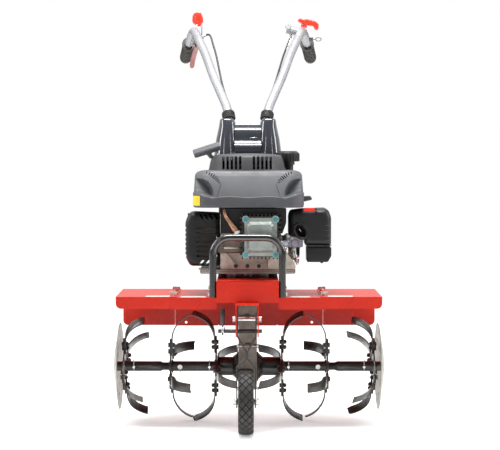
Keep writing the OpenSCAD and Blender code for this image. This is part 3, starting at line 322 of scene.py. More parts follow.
M = {
    "red": surface("red_enamel", (0.50, 0.014, 0.0035), 0.32, vary=0.05, vary_scale=9, coat=0.15,
                   specular=0.22,
                   coat_rough=0.12, bump=0.05, bump_scale=260, tint=(0.54, 0.018, 0.005)),
    "black_paint": surface("black_enamel", (0.011, 0.010, 0.0095), 0.34, vary=0.3, coat=0.25,
                           coat_rough=0.25, bump=0.10, bump_scale=500, dust=0.05),
    "hoop_paint": surface("hoop_enamel", (0.012, 0.011, 0.0105), 0.22, vary=0.2, coat=0.9, coat_rough=0.10,
                          bump=0.04, bump_scale=400),
    "tine_paint": surface("tine_enamel", (0.014, 0.012, 0.010), 0.36, vary=0.35, vary_scale=30, coat=0.35,
                          coat_rough=0.22, bump=0.16, bump_scale=420, tint=(0.020, 0.017, 0.013)),
    "zinc": surface("bright_zinc", (0.70, 0.70, 0.67), 0.32, metallic=1.0, vary=0.12, vary_scale=60,
                    bump=0.08, bump_scale=1400),
    "cast": surface("cast_aluminium", (0.46, 0.44, 0.40), 0.55, metallic=0.75, vary=0.22, vary_scale=40,
                    bump=0.55, bump_scale=750, grain=(1100, 0.22), dust=0.25),
    "tan_cast": surface("tan_casting", (0.58, 0.54, 0.465), 0.62, metallic=0.2, vary=0.25, vary_scale=35,
                        bump=0.6, bump_scale=700, grain=(1000, 0.25), dust=0.3),
    "gear_cast": surface("gear_casting", (0.22, 0.19, 0.16), 0.58, metallic=0.6, vary=0.25, vary_scale=30,
                         bump=0.6, bump_scale=700, grain=(900, 0.28), dust=0.25),
    "dark_cast": surface("dark_casting", (0.055, 0.052, 0.048), 0.6, metallic=0.6, vary=0.3, vary_scale=30,
                         bump=0.5, bump_scale=700, grain=(900, 0.3), dust=0.15),
    "cover_steel": surface("pressed_cover", (0.36, 0.40, 0.375), 0.34, metallic=0.85, vary=0.12,
                           vary_scale=34, bump=0.12, bump_scale=900, tint=(0.44, 0.49, 0.46), grain=(1500,
                                                                   0.08)),
    "ground_steel": surface("ground_steel", (0.50, 0.50, 0.49), 0.3, metallic=1.0, vary=0.15, vary_scale=50,
                            bump=0.12, bump_scale=1200, stretch=(1, 6, 1)),
    "iron": surface("cast_iron", (0.16, 0.155, 0.15), 0.6, metallic=0.8, vary=0.2, bump=0.5,
                    bump_scale=600),
    "bronze": surface("bronze", (0.55, 0.36, 0.14), 0.35, metallic=1.0, vary=0.15, bump=0.1),
    "rubber": surface("matt_rubber", (0.014, 0.013, 0.013), 0.62, vary=0.25, bump=0.25, bump_scale=600),
    "grip": surface("grip_rubber", (0.020, 0.017, 0.015), 0.58, vary=0.3, bump=0.35, bump_scale=900,
                    dust=0.06),
    "teal": surface("teal_zinc", (0.05, 0.30, 0.38), 0.32, metallic=0.9, vary=0.25, vary_scale=220,
                    bump=0.1, bump_scale=1300, tint=(0.10, 0.46, 0.55)),
    "ceramic": surface("glazed_ceramic", (0.86, 0.85, 0.80), 0.12, vary=0.03, coat=0.8, bump=0.02),
    "heat": surface("heated_steel", (0.10, 0.09, 0.08), 0.5, metallic=0.9, vary=0.3, vary_scale=22,
                    bump=0.2, tint=(0.14, 0.12, 0.10)),
    "disc": surface("bare_disc", (0.22, 0.20, 0.175), 0.42, metallic=0.9, vary=0.28, vary_scale=12,
                    bump=0.25, bump_scale=500, tint=(0.31, 0.285, 0.25), grain=(260, 0.18)),
    "matt_black": surface("matt_black_steel", (0.010, 0.010, 0.0105), 0.46, specular=0.3, vary=0.2,
                          bump=0.3, bump_scale=1100),
    "plastic": surface("black_plastic", (0.011, 0.011, 0.0115), 0.42, specular=0.3, vary=0.2, bump=0.28,
                       bump_scale=1500),
    "foam": surface("filter_foam", (0.05, 0.05, 0.05), 0.95, vary=0.3, bump=0.9, bump_scale=350),
    "charcoal": surface("charcoal_plastic", (0.062, 0.063, 0.068), 0.50, vary=0.10, vary_scale=10,
                        bump=0.35,
                        bump_scale=1700, tint=(0.070, 0.071, 0.078)),
    "hood": surface("hood_plastic", (0.040, 0.040, 0.042), 0.52, vary=0.12, vary_scale=10, bump=0.35,
                    bump_scale=1700),
    # Black plastic whose base colour is lifted to a bluish grey: part of this colour is a painted
    # reflection of the studio.
    "gloss": surface("gloss_black_painted_reflection", (0.034, 0.036, 0.046), 0.18, vary=0.15, vary_scale=6, coat=1.0,
                     coat_rough=0.05,
                     bump=0.03, bump_scale=90, rough_vary=0.04),
    "tyre": surface("tyre_rubber", (0.014, 0.013, 0.0125), 0.62, vary=0.25, vary_scale=40, bump=0.35,
                    bump_scale=700, dust=0.08),
    "rim": surface("rim_plastic", (0.030, 0.029, 0.029), 0.5, vary=0.2, bump=0.2, dust=0.1),
    "satin": surface("satin_tube", (0.34, 0.345, 0.36), 0.42, metallic=0.6, vary=0.05, vary_scale=8,
                     bump=0.06, bump_scale=1500, grain=(1800, 0.05)),
    "lever_brown": surface("lever_plastic", (0.20, 0.022, 0.012), 0.35, vary=0.15, coat=0.3, bump=0.1),
    "dark_wire": surface("dark_wire", (0.09, 0.09, 0.09), 0.45, metallic=0.7, vary=0.2, bump=0.05),
    "lever_red": surface("red_plastic", (0.80, 0.026, 0.008), 0.36, vary=0.06, coat=0.35, bump=0.1,
                         bump_scale=1300),
    "copper": surface("lead_sleeve", (0.36, 0.17, 0.10), 0.42, metallic=0.55, vary=0.3, vary_scale=90,
                      bump=0.6, bump_scale=500, tint=(0.50, 0.27, 0.17)),
    "carb": surface("carburettor_metal", (0.36, 0.34, 0.40), 0.45, metallic=0.8, vary=0.22, vary_scale=60,
                    bump=0.3, bump_scale=800),
    "bowl": surface("float_bowl", (0.66, 0.65, 0.60), 0.25, metallic=1.0, vary=0.15, vary_scale=70,
                    bump=0.1),
    "cable": surface("cable_cover", (0.018, 0.018, 0.019), 0.45, vary=0.2, bump=0.15, bump_scale=900),
    "grey_clamp": surface("grey_clamp", (0.26, 0.27, 0.28), 0.5, metallic=0.3, vary=0.15, bump=0.2),
    "label_white": surface("white_label", (0.80, 0.79, 0.72), 0.35, vary=0.04, coat=0.4, bump=0.03),
    "label_yellow": surface("yellow_label", (0.80, 0.52, 0.02), 0.4, vary=0.06, coat=0.3, bump=0.03),
}


def dress(name, material, bevel=0.0, segments=2, angle=32):
    """Gives a CAD node its material and, with Weld and Bevel modifiers, soft edges."""
    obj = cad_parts[name]
    obj.data.materials.clear()
    obj.data.materials.append(M[material])
    if bevel:
        weld = obj.modifiers.new("Weld", "WELD")
        weld.merge_threshold = 0.00002
        add_bevel(obj, bevel, segments, angle)
    return obj


for node, material, bevel in (
        ("main_frame", "red", 1.2), ("front_bumper", "hoop_paint", 0), ("frame_bolts", "zinc", 0.5),
        ("wheel_bracket", "red", 1.0), ("gearcase_left", "gear_cast", 1.5), ("gearcase_right", "gear_cast",
                                                1.5),
        ("axle_housings", "black_paint", 0.8), ("bearings", "ground_steel", 0), ("shaft_seals", "rubber",
                                                0),
        ("inner_fender_left", "red", 0.8), ("inner_fender_right", "red", 0.8),
        ("outer_fender_left", "red", 0.8), ("outer_fender_right", "red", 0.8),
        ("engine_block", "dark_cast", 1.2), ("cylinder_head", "dark_cast", 0.8), ("valve_cover",
                                                "cover_steel", 0.8),
        ("cover_bolts", "teal", 0.6), ("spark_plug", "ceramic", 0), ("ignition_lead", "copper", 0),
        ("muffler", "heat", 1.5), ("muffler_guard", "matt_black", 1.0), ("carburettor", "carb", 0.8),
        ("air_filter_case", "plastic", 2.0), ("air_filter_element", "foam", 0), ("engine_cover", "charcoal",
                                                1.5),
        ("recoil_housing", "hood", 1.5), ("fuel_tank", "plastic", 1.5), ("handle_column", "gloss", 4.0),
        ("belt", "rubber", 0.5), ("rotor_shaft", "ground_steel", 0), ("worm_wheel", "bronze", 0.3),
        ("inner_hubs", "black_paint", 0.6), ("outer_hubs", "black_paint", 0.6), ("tines_left", "tine_paint",
                                                0.7),
        ("tines_right", "tine_paint", 0.7), ("tine_bolts", "tine_paint", 0.6), ("side_discs", "disc", 0),
        ("clevis_pins", "zinc", 0), ("worm_shaft", "ground_steel", 0), ("driven_pulley", "ground_steel",
                                                0.4),
        ("crankshaft", "ground_steel", 0.5), ("flywheel", "iron", 0.5), ("idler_arm", "zinc", 0.5),
        ("idler_wheel", "plastic", 0.5), ("wheel_fork", "black_paint", 0.8), ("wheel_axle", "zinc", 0.6),
        ("wheel_rim", "rim", 0.8), ("tyre", "tyre", 0), ("lock_rod", "black_paint", 0.6),
        ("handlebar_tubes", "satin", 0), ("hand_grips", "grip", 0.8), ("bar_collars", "rubber", 0.8),
        ("control_cables", "cable", 0), ("clutch_lever", "lever_brown", 1.5), ("reverse_lever", "lever_red",
                                                2.0),
        ("throttle_lever", "lever_red", 2.0), ("recoil_handle", "charcoal", 1.5), ("fuel_cap", "plastic",
                                                1.0),
        ("choke_lever", "charcoal", 0.4), ("drag_stake", "black_paint", 0.6)):
    dress(node, material, bevel)

# ---- engine cover ----

COVER_X = span("engine_cover", 0)
COVER_FRONT = span("engine_cover", 1)[0] - ROTOR_Y
COVER_BACK = span("engine_cover", 1)[1] - ROTOR_Y
LIP_LOW = 686.5
COVER_TOP = 800.0
WALL = 2.5
SCOOP_DEPTH = 26.0
FRONT_STEPS = 33
SEAM_STEPS = 9


def ease(t):
    t = min(1.0, max(0.0, t))
    return t * t * (3 - 2 * t)


def between(value, table):
    """Straight-line reading of a short table of (key, value) pairs."""
    if value <= table[0][0]:
        return table[0][1]
    for (a, va), (b, vb) in zip(table, table[1:]):
        if value <= b:
            return va + (vb - va) * (value - a) / (b - a)
    return table[-1][1]


def lip_top(x):
    """Height of the upper edge of the lip at a place across the cover."""
    return between(abs(x), [(0, 718.5), (62, 722), (98, 719.5), (114, 716.5), (135, 722), (156, 730), (170,
                                            734)])


def seam_x(z):
    """Half the width of the sloping centre panel at a height."""
    return between(z, [(718, 98), (763, 84), (802, 84)])


def scoop(x, z):
    """How far the side scoops go back from the front face."""
    low = lip_top(x)
    reach = (abs((abs(x) - 174) / 65)) ** 2.2 + (abs((z - 714) / 70)) ** 2.2 if z > 714 else 0
    if abs(x) < 109 or reach > 1:
        return 0.0
    return SCOOP_DEPTH * ease((1 - reach ** 0.45) / 0.13) * ease((z - low) / 11)


def cover_ring(z, front, side, back, r, inner=0.0, seam=0.0):
    """One closed outline of the cover; the front row of points follows the panel's seams."""
    x0, x1 = COVER_X[0] + side + inner, COVER_X[1] - side - inner
    y0, y1 = COVER_FRONT + front + inner, COVER_BACK - back - inner
    r = r - inner
    mid = (x0 + x1) / 2
    height = z if callable(z) else (lambda x: z)
    s = seam_x(height(0))
    xs = [x0 + r + (mid - s - 1.2 - x0 - r) * k / SEAM_STEPS for k in range(SEAM_STEPS)]
    xs += [mid - s - 1.2, mid - s, mid - s + 1.2]
    xs += [mid - s + 1.2 + (2 * s - 2.4) * k / FRONT_STEPS for k in range(1, FRONT_STEPS)]
    xs += [mid + s - 1.2, mid + s, mid + s + 1.2]
    xs += [mid + s + 1.2 + (x1 - r - mid - s - 1.2) * k / SEAM_STEPS for k in range(1, SEAM_STEPS + 1)]
    ring = [(x, y0 + (seam if abs(abs(x - mid) - s) < 0.5 else 0.0)) for x in xs]
    for cx, cy, start, steps in ((x1 - r, y0 + r, -90, 12), (x1 - r, y1 - r, 0, 8), (x0 + r, y1 - r, 90, 8),
                                 (x0 + r, y0 + r, 180, 12)):
        first = 1 if start == -90 else 0
        last = steps if start == 180 else steps + 1
        for k in range(first, last):
            a = math.radians(start + 90 * k / steps)
            ring.append((cx + r * math.cos(a), cy + r * math.sin(a)))
    out = []
    for x, y in ring:
        h = height(x)
        if y < y0 + 60:
            y = max(y, y0 + scoop(x, h))
        out.append(Vector((x, y, h)))
    return out


def cover_rings(inner):
    rings = []
    for t, front, side in ((0.0, 4.0, 4.0), (0.06, 1.2, 1.2), (0.2, 0.2, 0.2), (0.5, 0, 0), (0.9, 0, 0),
                           (0.97, 0.6, 0.5), (1.0, 1.8, 1.4)):
        rings.append(cover_ring(lambda x, t=t: LIP_LOW + t * (lip_top(x) - LIP_LOW), front, side, side, 46,
                                inner))
    rows = 26
    for k in range(rows + 1):
        v = k / rows
        front = 3.6 + 30 * v + 5 * v * v
        side = 2.6 + 2.5 * v
        rings.append(cover_ring(lambda x, v=v: lip_top(x) + 0.6 + v * (786 - lip_top(x)), front, side,
                                side + 4 * v,
                                46, inner, 1.4 * (1 - ease((v - 0.5) / 0.15))))
    for z, front, side in ((790, 41.5, 6.5), (794, 44, 9), (797.5, 47, 13), (799.5, 50, 19), (801, 55, 28),
                           (801.8, 62, 40)):
        rings.append(cover_ring(z - (inner if z > 795 else inner * 0.6), front, side, side + 2, 46, inner))
    return rings


def vent_path(side):
    """Middle line of the row of slots on one shoulder."""
    return smooth_path([(side * 134, 0, 799), (side * 118, 0, 795), (side * 104, 0, 787), (side * 94, 0,
                                            776),
                        (side * 88, 0, 764)], 4)


def cover_cutter():
    cutter = Shape()
    for side in (-1, 1):
        path = vent_path(side)
        for k in range(1, len(path) - 1, 2):
            along = (path[k + 1] - path[k - 1]).normalized()
            across = Vector((along.z, 0, -along.x)) * side
            if across.z > 0:
                across = -across
            length = 13 * math.sin(math.pi * (k + 3) / (len(path) + 5))
            a, b = path[k] - along * 1.5, path[k] + along * 1.5
            corners = [a, b, b + across * length, a + across * length]
            cutter.loft([[Vector((p.x, y, p.z)) for p in corners] for y in (-110, -20)], smooth=False)
    return cutter


def engine_cover():
    outer, inner = cover_rings(0.0), cover_rings(WALL)
    shape = Shape().loft(inner[::-1] + outer)
    return piece("cover_shell", shape, "chassis", M["charcoal"], crease=28,
                 replaces=("engine_cover",), cut=cover_cutter())


def patch(points, normal_y, thick):
    """A thin sheet that follows a grid of points, thickened towards the front."""
    shape = Shape()
    rows, cols = len(points), len(points[0])
    verts = [p for row in points for p in row] + [p + normal_y * thick for row in points for p in row]
    n = rows * cols
    faces = []
    for i in range(rows - 1):
        for k in range(cols - 1):
            a = i * cols + k
            faces.append((a, a + 1, a + cols + 1, a + cols))
            faces.append((n + a, n + a + cols, n + a + cols + 1, n + a + 1))
    edge = ([k for k in range(cols)] + [i * cols + cols - 1 for i in range(1, rows)]
            + [(rows - 1) * cols + k for k in range(cols - 2, -1, -1)] + [i * cols for i in range(rows - 2,
                                                    0, -1)])
    for a, b in zip(edge, edge[1:] + edge[:1]):
        faces.append((a, a + n, b + n, b))
    return shape.add(verts, faces)


def cover_label():
    rows = []
    for k in range(5):
        z = 693 + 30 * k / 4
        ring = cover_ring(z, -0.15, -0.15, 0, 46)
        corner = [p for p in ring if p.x < -151 and p.y < -60]
        rows.append(sorted(corner, key=lambda p: p.x)[:8])
    return piece("cover_label", patch(rows, Vector((-0.5, -0.8, 0)), 0.4), "chassis",
                 M["label_yellow"])


def cover_trim():
    """Front screw of the cover."""
    shape = Shape()
    shape.lathe([(0.1, 0), (3.2, 0), (5.6, 1.2), (6.2, 3.2), (6.2, 6), (9.5, 6.4), (9.5, 8), (0.1, 8)],
                (0, -52, 798.5), (0, 0.55, -0.83), steps=24)
    return piece("cover_screw", shape, "chassis", M["zinc"], bevel=0.4)


def cover_fin():
    outline = [(166, 720), (192, 722), (198, 715), (197, 709), (166, 702)]
    shape = Shape().slab(outline, "xz", -30, -10)
    return piece("cover_fin", shape, "chassis", M["charcoal"], bevel=1.5)


# ---- recoil hood ----

def hood_center():
    return middle("recoil_housing", 0), middle("recoil_housing", 1) - ROTOR_Y


def hood():
    hx, hy = hood_center()
    outer = [(124, 799), (121.5, 810), (118.5, 826), (114, 841), (111.5, 845.5), (107.5, 848.6), (98,
                                            850.6),
             (80, 852.6), (50, 854.4), (20, 855), (0.01, 855)]
    inner = [(0.01, 851), (50, 850.5), (95, 847), (106, 844), (110.5, 838.5), (112.5, 837.6), (108, 837.2),
             (108, 835.2), (113, 835), (115.5, 824), (119, 808), (121, 799)]
    profile = outer[::-1] + inner[::-1]
    shape = Shape().lathe([(r, z) for r, z in profile], (hx, hy, 0), (0, 0, 1), steps=120)
    cutter = Shape()
    for face in (-1, 1):
        for side in (-1, 1):
            for k in range(5):
                x = hx + side * (21.5 + 13.2 * k)
                z1 = 846.5 - 0.5 * k
                outline = rounded(x - 3.8, 805, x + 3.8, z1, 2.0, 3)
                cutter.slab(outline, "xz", hy + face * 60, hy + face * 130)
    for face in (-1, 1):
        for k in range(-2, 3):
            y = hy + 13.2 * k
            if face < 0 and k in (-2, -1, 0):
                continue
            cutter.slab(rounded(y - 3.8, 805, y + 3.8, 846, 2.0, 3), "yz", hx + face * 80, hx + face * 130)
    return piece("starter_hood", shape, "chassis", M["hood"], crease=30,
                 replaces=("recoil_housing",), cut=cutter)


def starter_drum():
    """Pulley of the starter, seen through the slots."""
    hx, hy = hood_center()
    profile = [(10, 803), (96, 803), (98, 806), (90, 812), (90, 822), (98, 828), (96, 832), (10, 832)]
    shape = Shape().lathe(profile, (hx, hy, 0), (0, 0, 1), steps=48)
    return piece("starter_drum", shape, "chassis", M["plastic"])


def pull_handle():
    shape = Shape()
    section = [(-9, -11), (-12.5, -3), (-11, 1), (2, 10.5), (8, 10), (12, 3), (10, -9), (4, -12)]
    rings = []
    for x, scale in ((-44, 0.78), (-42.5, 0.93), (-36, 1.0), (0, 1.02), (36, 1.0), (42.5, 0.93), (44,
                                            0.78)):
        rings.append([Vector((x, 1.22 * y * scale, 1.25 * z * scale)) for y, z in section])
    shape.loft(rings)
    tilt = Matrix.Rotation(math.radians(-18), 4, "Y")
    shape.moved(Matrix.Translation((-135, 58, 867)) @ tilt)
    grip = piece("pull_handle", shape, "recoil_handle", M["charcoal"], bevel=1.6,
                 replaces=("recoil_handle",), crease=30)
    start, along = Vector((-135, 58, 865)), Vector((0.555, 0, -0.832))
    neck = Shape().tube([start + along * t for t in (4, 12, 20, 27, 29)], [9.5, 8.6, 7.4, 6.6, 5.4], 20)
    neck.tube([start + along * t for t in (27, 45)], 2.6, 12)
    piece("pull_neck", neck, "recoil_handle", M["charcoal"], bevel=0.6)
    return grip


# ---- handle column ----

def oval_ring(x0, x1, y0, y1, z, power, steps=56):
    """A squared oval in a level plane."""
    cx, cy, rx, ry = (x0 + x1) / 2, (y0 + y1) / 2, (x1 - x0) / 2, (y1 - y0) / 2
    out = []
    for k in range(steps):
        a = 2 * math.pi * k / steps
        c, s = math.cos(a), math.sin(a)
        out.append(Vector((cx + rx * math.copysign(abs(c) ** (2 / power), c),
                           cy + ry * math.copysign(abs(s) ** (2 / power), s), z)))
    return out


ARM_TABLE = [
    # height, inner x, outer x, front y, back y, squareness
    (830, 24, 113, 266, 380, 2.5),
    (852, 27, 112.5, 267, 379, 2.5),
    (880, 30, 109.5, 270, 376, 2.4),
    (905, 33, 106, 274, 372, 2.4),
    (930, 36, 100.5, 279, 368, 2.4),
    (948, 38.5, 96.5, 283, 364, 2.4),
    (958, 41.5, 95, 286, 361, 2.8),
    (966, 44.5, 94, 288.5, 358.5, 2.9),
    (970.5, 47.5, 92, 291, 356, 3.0),
    (972, 50.5, 89.5, 294, 353, 3.0),
]


def column():
    shape = Shape()
    body = []
    for k in range(15):
        t = k / 14
        z = 466 + t * 386
        flare = t + 0.10 * math.sin(math.pi * t)
        half = 61 + 50.5 * flare - (2.5 if k == 0 else 0)
        body.append(oval_ring(CX - half, CX + half, 301 - 33 * t, 391 - 11 * t, z, 5.0))
    body.append(oval_ring(CX - 109, CX + 109, 271, 377, 860, 4.5))
    body.append(oval_ring(CX - 96, CX + 96, 284, 366, 866, 4.0))
    shape.loft(body)
    for side in (-1, 1):
        rings = [oval_ring(*sorted((CX + side * a, CX + side * b)), front, back, z, power)
                 for z, a, b, front, back, power in ARM_TABLE]
        rings.append(oval_ring(*sorted((CX + side * 52, CX + side * 86)), 297, 350, 969, 3.0))
        shape.loft(rings)
    panel = [(262, 840), (258, 868), (259, 880), (266, 889), (276, 894), (280, 902), (282, 920), (286, 933),
             (294, 941.5), (306, 945.5), (330, 945), (352, 936), (362, 915), (366, 880), (368, 840)]
    smooth_panel = [(p.y, p.z) for p in smooth_path([(0, y, z) for y, z in panel], 3)]
    shape.slab(smooth_panel, "yz", CX - 44, CX + 44, smooth=True)
    return piece("column_shell", shape, "chassis", M["gloss"], crease=40,
                 replaces=("handle_column",))


def column_foot():
    shape = Shape()
    rings = []
    for z, grow in ((464.5, 3), (466, 4.5), (474, 4.5), (477, 2.5), (480, 0.5)):
        rings.append(oval_ring(CX - 61 - grow, CX + 61 + grow, 301 - grow, 391 + grow, z, 6.0))
    shape.loft(rings)
    return piece("column_foot", shape, "chassis", M["gloss"])


def column_highlight_strip():
    """Painted highlight: a bright zinc strip that stands for a reflection line on the gloss panel between
    the arms.
    """
    shape = Shape().block((1, 279.6, 905.6), (28, 283, 908))
    return piece("column_highlight_strip", shape, "chassis", M["zinc"], bevel=0.5)

# ---- front wheel ----

WHEEL_X = middle("tyre", 0)
WHEEL_Y = middle("tyre", 1) - ROTOR_Y
WHEEL_Z = middle("tyre", 2)
WHEEL_R = (span("tyre", 2)[1] - span("tyre", 2)[0]) / 2
TREAD_COUNT = 25


def tread_radius(x):
    return WHEEL_R - 0.2 - 2.6 * (x / 24.0) ** 2 - (5.0 * max(0.0, (abs(x) - 19) / 5) ** 2)


def on_wheel(x, arc, r):
    a = arc / WHEEL_R
    return Vector((WHEEL_X + x, WHEEL_Y + r * math.sin(a), WHEEL_Z + r * math.cos(a)))


def tread_block(shape, outline, arc, height):
    """A rubber block with sloping flanks; the outline is in (across, along) about its middle."""
    mx = sum(x for x, _ in outline) / len(outline)
    ma = sum(a for _, a in outline) / len(outline)
    rings = []
    for shrink, sink in ((1.10, height), (1.0, 1.0), (0.9, 0.0)):
        rings.append([on_wheel(mx + (x - mx) * shrink, arc + ma + (a - ma) * shrink,
                               tread_radius(mx + (x - mx) * min(1.0, shrink)) - sink) for x, a in outline])
    shape.loft(rings, smooth=False)


def tyre():
    shape = Shape()
    profile = []
    for r, x in ((67, 17), (66, 19.5), (70, 21.5), (78, 23.2), (86, 23.8), (90.5, 23.0), (93, 20.5), (95,
                                            15),
                 (96, 8), (96.2, 0)):
        profile.append((r, x))
    profile = profile + [(r, -x) for r, x in profile[-2::-1]]
    shape.lathe([(r, x) for r, x in profile] + [(64, -15), (64, 15)], (WHEEL_X, WHEEL_Y, WHEEL_Z), (1, 0,
                                            0),
                steps=100)
    pitch = 2 * math.pi * WHEEL_R / TREAD_COUNT
    half_w, half_a = 9.6, 0.43 * pitch
    diamond = [(-half_w, 0), (-half_w * 0.12, -half_a), (half_w * 0.12, -half_a), (half_w, 0),
               (half_w * 0.12, half_a), (-half_w * 0.12, half_a)]
    for k in range(TREAD_COUNT):
        for x in (-11, 11):
            tread_block(shape, [(x + dx, da) for dx, da in diamond], k * pitch, 4.2)
        tread_block(shape, diamond, (k + 0.5) * pitch, 4.6)
        for side in (-1, 1):
            edge = [(side * 13.2, 0), (side * 20.5, -half_a * 0.85), (side * 23.4, -half_a * 0.85),
                    (side * 23.4, half_a * 0.85), (side * 20.5, half_a * 0.85)]
            tread_block(shape, edge, (k + 0.5) * pitch, 5.0)
    return piece("wheel_tyre", shape, "wheel", M["tyre"], bevel=0.5, crease=30,
                 replaces=("tyre",))


def pull_spring():
    """Coil spring round the short pin of the lock rod."""
    lo, hi = 308.0, 326.0
    turns, radius = 7, 6.2
    x, y = -80.0, -201.5
    path = []
    for k in range(turns * 14 + 1):
        a = 2 * math.pi * k / 14
        path.append((x + radius * math.cos(a), y + radius * math.sin(a), lo + (hi - lo) * k / (turns * 14)))
    return piece("lock_spring", Shape().tube(path, 0.9, 8), "lock_rod", M["zinc"])


# ---- handlebars ----

BAR_ROUTE = [(-62, 322, 966), (-71, 350, 1009), (-95, 405, 1066), (-120, 460, 1124), (-149, 540, 1202),
             (-173, 600, 1254), (-187, 638, 1284), (-196, 668, 1288), (-205, 698, 1272),
             (-211.7, 725.6, 1253.3), (-213, 735, 1250), (-221.65, 797.5, 1228.15), (-230, 858, 1207)]
CLUTCH_ROUTE = [(-156, 623, 1267), (-147, 613, 1275), (-136, 600, 1268), (-126, 580, 1236),
                (-114, 545, 1194), (-92, 462, 1092), (-74, 402, 1036), (-64, 378, 1010), (-60, 363, 986),
                (-58, 354, 972), (-58, 348, 960), (-58, 344, 950)]
THROTTLE_ROUTE = [(146, 640, 1276), (145, 640, 1262), (138, 630, 1244), (128, 606, 1218), (116, 566, 1184),
                  (88, 462, 1092), (66, 402, 1036), (56, 378, 1010), (52, 363, 986), (50, 354, 972),
                  (50, 348, 960), (50, 344, 950)]
BAR_R = 15.0


def bar_path(side):
    return smooth_path([(side * x + CX, y, z) for x, y, z in BAR_ROUTE], 8)


def handlebars():
    shape = Shape()
    for side in (1, -1):
        path = bar_path(side)
        shape.tube(path, BAR_R, 36)
        shape.tube([path[0], path[0] + Vector((0, -12, -16))], 11, 20)
    shape.tube([(CX - 91, 310, 950), (CX + 91, 310, 950)], 5, 20)
    return piece("steel_bars", shape, "handlebars", M["satin"], replaces=("handlebar_tubes",))

def round_corners(points, radius, steps=5):
    """An outline with each corner of the polygon replaced by a soft bend."""
    out = []
    n = len(points)
    for i in range(n):
        p = Vector(points[i])
        a, b = Vector(points[i - 1]), Vector(points[(i + 1) % n])
        r = min(radius, (a - p).length * 0.45, (b - p).length * 0.45)
        start, end = p + (a - p).normalized() * r, p + (b - p).normalized() * r
        for k in range(steps + 1):
            t = k / steps
            out.append(tuple((1 - t) ** 2 * start + 2 * t * (1 - t) * p + t * t * end))
    return out


def shrink(outline, amount):
    """An outline pulled in towards its middle by about the same amount on every side."""
    xs, zs = [p[0] for p in outline], [p[1] for p in outline]
    mx, mz = (min(xs) + max(xs)) / 2, (min(zs) + max(zs)) / 2
    hx, hz = (max(xs) - min(xs)) / 2, (max(zs) - min(zs)) / 2
    return [(mx + (x - mx) * (1 - amount / hx), mz + (z - mz) * (1 - amount / hz)) for x, z in outline]


def drum_shell(outline, y_back, y_front, radius, wall):
    """A moulded shell, open at the back, whose front edge is rolled round with the given radius."""
    def ring(y, amount):
        return [Vector((x, y, z)) for x, z in shrink(outline, amount)]
    outer, inner = [ring(y_back, 0)], [ring(y_back, wall)]
    for k in range(9):
        a = math.pi / 2 * k / 8
        outer.append(ring(y_front + radius * (1 - math.sin(a)), radius * (1 - math.cos(a)) * 0.7))
        inner.append(ring(y_front + wall + radius * (1 - math.sin(a)),
                          wall + radius * (1 - math.cos(a)) * 0.7))
    return Shape().loft(inner[::-1] + outer)


# ---- muffler guard ----

def muffler_guard():
    outline = round_corners([(-91, 501.5), (-91, 667), (-176, 671), (-188, 668), (-200, 642), (-200, 531),
                             (-185, 501.5)],
                            12)
    shape = drum_shell(outline, 64, -56, 22, 2.0)
    shape.block((-196, 60.5, 598), (-93, 63, 664))
    cutter = Shape()
    for k in range(7):
        z = 534.5 + 14.4 * k
        cutter.slab(rounded(-164, z - 3.3, -100, z + 3.3, 3, 4), "xz", -62, -30)
        cutter.slab(rounded(-47, z - 3.3, 40, z + 3.3, 3, 4), "yz", -210, -190)
    for k in range(4):
        x = -157 + 15.2 * k
        slot = [(x, 664.5), (x + 6.5, 664.5), (x + 16, 648), (x + 10, 648)]
        cutter.slab(round_corners(slot, 2.5, 3), "xz", -62, 20)
    for k in range(3):
        x = -158 + 19 * k
        slot = [(x, 506), (x + 7, 506), (x + 19, 521), (x + 12, 521)]
        cutter.slab(round_corners(slot, 2.5, 3), "xz", -62, 70)
    return piece("guard_shell", shape, "chassis", M["matt_black"], crease=30,
                 replaces=("muffler_guard",), cut=cutter)


def guard_strip():
    """Turned edge of the guard beside the head, and its fixing nut below."""
    shape = Shape().block((-90.5, -57, 604), (-87.5, -44, 667))
    shape.lathe([(4.5, 0), (7.5, 0.5), (7.5, 6), (4.5, 7)], (-140, -52, 485), (0, 0, 1), 6)
    shape.block((-158, -60, 491.6), (-126, -36, 495.5))
    return piece("guard_strip", shape, "chassis", M["cast"], bevel=0.7)


# ---- air filter ----

